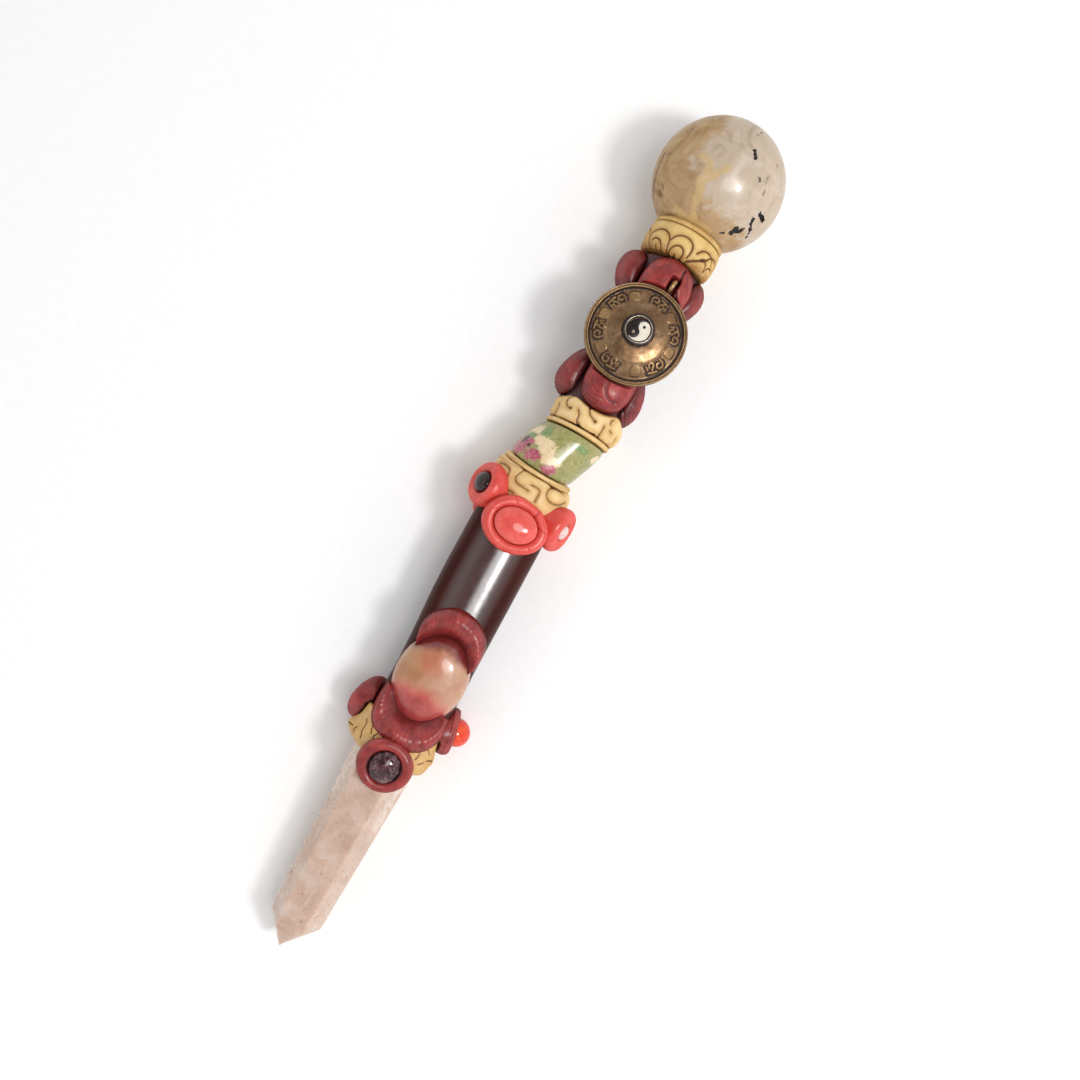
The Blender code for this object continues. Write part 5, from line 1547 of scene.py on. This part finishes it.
# Strokes of one raised curl, in millimetres round and out from its place on the band.
CURLS = (
    [(-2.5, -1.1), (-2.7, 0.1), (-2.1, 1.1), (-1.1, 1.2), (-0.5, 0.4), (-0.9, -0.4), (-1.7, -0.3)],
    [(0.1, 1.4), (1.3, 1.3), (2.5, 1.0)],
    [(1.2, 1.2), (1.1, 0.3), (0.4, -0.4), (0.2, -1.2), (1.0, -1.6), (1.8, -1.1), (1.8, -0.3)],
    [(2.6, 0.1), (2.8, -0.9)],
)
# Directions of the curls with the hand that they turn to, and of the pads with their gilt.
CURL_PLACES = ((165, 1), (112, -1), (59, 1), (-8, -1), (-63, 1), (-121, -1))
PAD_PLACES = ((140, 0.35), (87, 0.6), (31, 0.45), (-36, 0.05), (-91, 0.4), (-152, 0.05))


def build_plate(metal):
    around = 560
    turn = full_turn(around)
    radii = np.concatenate([np.linspace(0.05, 8.4, 50)[:-1], np.arange(8.4, 13.75, 0.09)])
    r = radii[:, None]
    z = soften(np.interp(r, *zip(*PLATE_PROFILE)) + 0 * turn, 10)
    rings = medallion_point(r + 0 * turn, turn, z)
    band = step_up(r, 8.7, 10.0) * (1 - step_up(r, 12.9, 13.4)) + 0 * turn
    strokes = np.full(r.shape[:1] + turn.shape[1:], 9.0)
    for place, hand in CURL_PLACES:
        gap = angle_gap(np.degrees(turn), place)
        u, v = np.radians(gap) * 11.0 * hand + 0 * r, r - 11.0 + 0 * turn
        for curl in CURLS:
            line = smooth_line([(0.92 * a, 0.95 * b) for a, b in curl], 0.35)
            strokes = np.where(np.abs(u) < 5.0, np.minimum(strokes, distance(u, v, [line])), strokes)
    raised = 1 - step_up(strokes, 0.20, 0.48)
    pads = pad_gilt = np.zeros(strokes.shape)
    for place, tone in PAD_PLACES:
        gap = angle_gap(np.degrees(turn), place)
        u = np.radians(gap) * 11.0 + 0 * r
        away = (np.abs(u / 1.75) ** 3 + np.abs((r - 10.9) / 1.6 + 0 * u) ** 3) ** (1 / 3)
        pad = 1 - step_up(away, 0.75, 1.08)
        pads = np.maximum(pads, pad)
        pad_gilt = np.maximum(pad_gilt, tone * pad)
    field = band * (1 - np.maximum(raised, pads))
    z = z - 0.22 * field + 0.20 * raised + 0.12 * pads
    hammer = 0.06 * noise(rings, 3.0, 131) + 0.03 * noise(rings, 1.3, 132)
    rings = medallion_point(r + 0 * turn, turn, z + hammer)
    under = [(13.8, 0.9), (13.82, 0.5), (13.75, 0.1), (13.4, 0.0), (6.0, 0.0), (0.05, 0.0)]
    under_r, under_z = columns(under)
    edge = medallion_point(under_r + 0 * turn, turn, under_z)
    recess = 0.80 * field * (0.34 + 0.66 * bell(np.maximum(strokes - 0.5, 0.0), 0.45))
    # Darker at the plate's edge under the wires and slightly towards the rim.
    recess = np.maximum(recess, 0.8 * bell(r - 13.5, 0.4) + 0.22 * step_up(r, 8.5, 13.0))
    # A dark ring round the boss's foot.
    from_boss = np.hypot(rings[..., 0] - RIM_CENTRE.x - BOSS_SHIFT, rings[..., 1] - RIM_CENTRE.y)
    recess = np.maximum(recess, 0.8 * bell(from_boss - 4.7, 0.35))
    plain = np.zeros((len(under), around))
    fields = {"recess": np.vstack([recess, 0.6 + plain]),
              "gilt": np.vstack([np.maximum(0.8 * pad_gilt, 0.12 * raised), plain])}
    piece("medallion_plate", np.concatenate([rings, edge]), fields, metal)


def build_medallion_rim(metal):
    """Two twisted wires side by side on a flat ring."""
    turn = full_turn(1180).T
    across = np.linspace(0, 2 * np.pi, 46, endpoint=False)[None, :]
    r = 14.38 + 0.70 * np.sign(np.cos(across)) * np.abs(np.cos(across)) ** 0.75
    z = 0.95 + 0.80 * np.sign(np.sin(across)) * np.abs(np.sin(across)) ** 0.62
    top = step_up(np.sin(across), 0.25, 0.8)
    split = bell(r - WIRE_SPLIT, 0.13) * top
    twist = np.cos(118 * turn + np.abs(r - WIRE_SPLIT) * 7.0)
    crest = top * sum(bell(r - wire, 0.30) for wire in WIRES)
    z = z - 0.40 * split + crest * (0.12 + 0.03 * twist)
    rings = medallion_point(r + 0 * turn, turn, z)
    rings = rings + 0.03 * noise(rings, 2.0, 137)[..., None] * (0.0, 0.0, 1.0)
    recess = np.maximum(0.95 * split, 0.22 * top * (twist < -0.35)) + 0.55 * (1 - top)
    piece("medallion_rim", rings, {"recess": recess, "gilt": 0.45 * crest}, metal, closed=True)


def boss_look():
    """Look of black enamel with a bare silver wire inside and a worn edge."""
    p = Paint("boss_enamel", Specular_IOR_Level=0.5)
    ring = p.value("wire")
    colour = p.ramp(p.noise(1.2, 4.0, 0.6), (0.35, rgb(20, 15, 14)), (0.7, rgb(42, 33, 30)))
    worn = p.remap(p.noise(0.7, 4.0, 0.7), 0.60, 0.75, 0.0, 0.6)
    colour = p.mix(p.times(worn, p.value("edge")), colour, rgb(150, 124, 98))
    silver = p.ramp(p.noise(0.8, 3.0), (0.35, rgb(160, 148, 134)), (0.65, rgb(206, 196, 182)))
    p.link(p.mix(ring, colour, silver), "Base Color")
    p.link(p.times(ring, 0.9), "Metallic")
    p.link(p.remap(p.noise(1.0, 3.0), 0.3, 0.7, 0.22, 0.36), "Roughness")
    p.bumps((p.noise(0.8, 3.0), 0.02, 0.3))
    return p.material, "enamel_black"


def build_boss():
    turn = full_turn(200).T
    rows = resample([(3.72, 0.15), (3.68, 0.75), (3.8, 0.98), (4.0, 0.98), (4.08, 0.86), (4.3, 0.84),
                     (4.48, 0.6), (4.5, 0.2), (4.3, 0.0), (3.9, 0.0), (3.72, 0.15)], 0.05, 3)[:-1]
    r, z = rows[:, 0][None, :], rows[:, 1][None, :]
    wave = 1 + 0.006 * np.sin(3 * turn + 1.0) + 0.004 * np.sin(7 * turn)
    rings = medallion_point(r * wave, turn, z + BOSS_FLOOR)
    rings[..., 0] += BOSS_SHIFT
    wire = ((r < 4.02) & (z > 0.45)) + 0.0 * turn
    edge = ((r > 4.25) & (z > 0.3)) + 0.0 * turn
    piece("medallion_boss", rings, {"wire": wire, "edge": edge}, boss_look(), closed=True)


def teardrop(radius, inset, half):
    """Outline of one half of a disc split by an S curve."""
    middle = radius / 2
    horn = math.acos(1.25 - (0.5 + inset / radius) ** 2)
    horn_x, horn_y = radius * math.sin(horn), radius * math.cos(horn)
    hollow = math.atan2(horn_y - middle, horn_x)
    arcs = ((0.0, radius, math.pi / 2 - horn, -math.pi / 2, 60),
            (-middle, middle - inset, -math.pi / 2, -3 * math.pi / 2, 40),
            (middle, middle + inset, -math.pi / 2, hollow, 40))
    points = []
    for centre, r, start, end, steps in arcs:
        for i in range(steps):
            a = start + (end - start) * i / steps
            points.append((-half * r * math.cos(a), half * (centre + r * math.sin(a))))
    return points


def bevelled_mesh(name, outline, height, bevel):
    """Flat piece with an outline and a bevelled upper edge, in millimetres."""
    bm = bmesh.new()
    base = [bm.verts.new((x * MM, y * MM, 0.0)) for x, y in outline]
    face = bm.faces.new(base)
    extruded = bmesh.ops.extrude_face_region(bm, geom=[face])
    top = [v for v in extruded["geom"] if isinstance(v, bmesh.types.BMVert)]
    bmesh.ops.translate(bm, vec=(0.0, 0.0, height * MM), verts=top)
    rim = [e for e in bm.edges if all(v in top for v in e.verts)]
    bmesh.ops.bevel(bm, geom=rim, offset=bevel * MM, segments=4, profile=0.5, affect="EDGES")
    bmesh.ops.recalc_face_normals(bm, faces=bm.faces)
    mesh = bpy.data.meshes.new(name)
    bm.to_mesh(mesh)
    bm.free()
    mesh.shade_smooth()
    mesh.set_sharp_from_angle(angle=math.radians(50))
    return mesh


def build_enamel(name, half, tones, dot_tone):
    """One enamel drop, with a dot in its head; half is 1 for one side of the disc and -1 for the other."""
    obj = put(name + "_visual", bevelled_mesh(name + "_visual", teardrop(3.32, 0.04, half), 0.85, 0.13))
    middle = Vector((RIM_CENTRE.x + BOSS_SHIFT, RIM_CENTRE.y, MEDALLION_BACK + BOSS_FLOOR)) * MM
    place = Matrix.Translation(middle)
    obj.matrix_world = WAND @ place @ Matrix.Rotation(math.radians(ENAMEL_TURN), 4, "Z")
    p = Paint(name + "_paint", Roughness=0.22, Specular_IOR_Level=0.5, Coat_Weight=0.4, Coat_Roughness=0.1)
    colour = p.ramp(p.noise(0.9, 4.0, 0.6), (0.35, tones[0]), (0.7, tones[1]))
    head = (0.0, -half * 1.66 * MM, 0.8 * MM)
    away = p.add("ShaderNodeVectorMath", {0: p.place, 1: head}, operation="DISTANCE").outputs["Value"]
    colour = p.mix(p.remap(away, 0.50 * MM, 0.40 * MM), colour, dot_tone)
    p.link(colour, "Base Color")
    p.bumps((p.noise(0.7, 3.0), 0.02, 0.3))
    finish(obj, (p.material, name))


def build_bail(metal):
    turn = full_turn(90).T
    across = full_turn(30)
    reach = 1.45 + 0.66 * np.cos(across)
    rings = np.stack([reach * np.cos(turn), 0.62 * np.sin(across) + 0 * turn, reach * np.sin(turn)], 2)
    rings = swell(rings, 0.03 * noise(rings, 0.9, 139))
    place = Matrix.Translation(Vector(BAIL_PLACE) * MM) @ Matrix.Rotation(math.radians(-7.4), 4, "Z")
    piece("medallion_bail", rings, {"recess": 0.0, "gilt": 0.8}, metal, place, closed=True)


def build_medallion():
    metal = brass()
    build_plate(metal)
    build_medallion_rim(metal)
    build_boss()
    build_enamel("enamel_white", 1, (rgb(214, 204, 188), rgb(234, 226, 212)), rgb(40, 32, 28))
    build_enamel("enamel_black", -1, (rgb(22, 16, 16), rgb(40, 28, 28)), rgb(150, 128, 112))
    build_bail(metal)


# ---------------------------------------------------------------- stage

def add_camera():
    camera = put("camera", bpy.data.cameras.new("camera"))
    right = Vector((math.cos(WAND_SLANT), -math.sin(WAND_SLANT), 0.0))
    up = Vector((math.sin(WAND_SLANT), math.cos(WAND_SLANT), 0.0))
    axes = Matrix((right, up, Vector((0.0, 0.0, 1.0)))).transposed().to_4x4()
    place = Matrix.Translation(Vector((EYE_STATION, 0.0, EYE_HEIGHT)) * MM)
    camera.matrix_world = WAND @ place @ axes
    camera.data.sensor_width = 36.0
    camera.data.lens = 36.0 * EYE_HEIGHT / VIEW_WIDTH
    offset = Vector((VIEW_CENTRE[0] - EYE_STATION, VIEW_CENTRE[1], 0.0))
    camera.data.shift_x = offset.dot(right) / VIEW_WIDTH
    camera.data.shift_y = offset.dot(up) / VIEW_WIDTH
    camera.data.clip_start = 0.01
    bpy.context.scene.camera = camera


def add_light(name, direction, size, power, aim):
    """Soft disk of light that looks at a point of the wand from a direction, in the wand's frame."""
    data = bpy.data.lights.new(name, "AREA")
    data.shape = "DISK"
    data.size = size
    data.energy = power
    light = put(name, data)
    back = (WAND.to_3x3() @ Vector(direction)).normalized()
    light.location = WAND @ (Vector(aim) * MM) + back * LIGHT_REACH
    light.rotation_mode = "QUATERNION"
    light.rotation_quaternion = back.to_track_quat("Z", "Y")


def add_floor():
    points = [(x, y, -0.0002) for x, y in ((-3.0, -3.0), (3.0, -3.0), (3.0, 3.0), (-3.0, 3.0))]
    mesh = bpy.data.meshes.new("floor")
    mesh.from_pydata(points, [], [(0, 1, 2, 3)])
    floor = put("floor", mesh)
    p = Paint("floor_paper", Roughness=0.75, Specular_IOR_Level=0.2)
    tones = ((0.3, (0.93, 0.93, 0.93, 1.0)), (0.7, (0.95, 0.95, 0.95, 1.0)))
    p.link(p.ramp(p.noise(3.0, 3.0), *tones), "Base Color")
    mesh.materials.append(p.material)


def add_world():
    """White surroundings that are darker overhead, so that dark upward faces keep their colour."""
    world = bpy.data.worlds.new("studio")
    world.use_nodes = True
    nodes, links = world.node_tree.nodes, world.node_tree.links
    background = nodes["Background"]
    background.inputs["Color"].default_value = (1.0, 1.0, 1.0, 1.0)
    direction = nodes.new("ShaderNodeTexCoord").outputs["Generated"]
    height = nodes.new("ShaderNodeSeparateXYZ")
    links.new(direction, height.inputs[0])
    fade = nodes.new("ShaderNodeMapRange")
    links.new(height.outputs["Z"], fade.inputs["Value"])
    for key, value in {"From Min": 0.55, "From Max": 0.95, "To Min": 0.92, "To Max": 0.22}.items():
        fade.inputs[key].default_value = value
    links.new(fade.outputs["Result"], background.inputs["Strength"])
    bpy.context.scene.world = world
    bpy.context.scene.view_settings.view_transform = "Standard"


build_quartz()
build_tip_collar()
build_handle()
build_palm_stone()
build_lips()
build_bezels()
build_stones()
build_lower_collar()
build_lower_band()
build_bead()
build_upper_band()
build_upper_collar()
build_petals()
build_waist()
build_rod()
build_pad()
build_medallion()
build_cup()
build_cup_rim()
build_ball()

add_camera()
add_light("key", (-0.09, -0.53, 0.85), 0.16, 3.2, aim=(258.0, -5.0, 18.0))
add_light("overhead", (0.0, -0.29, 0.96), 0.40, 2.1, aim=(126.0, 1.5, 11.6))
add_world()
add_floor()
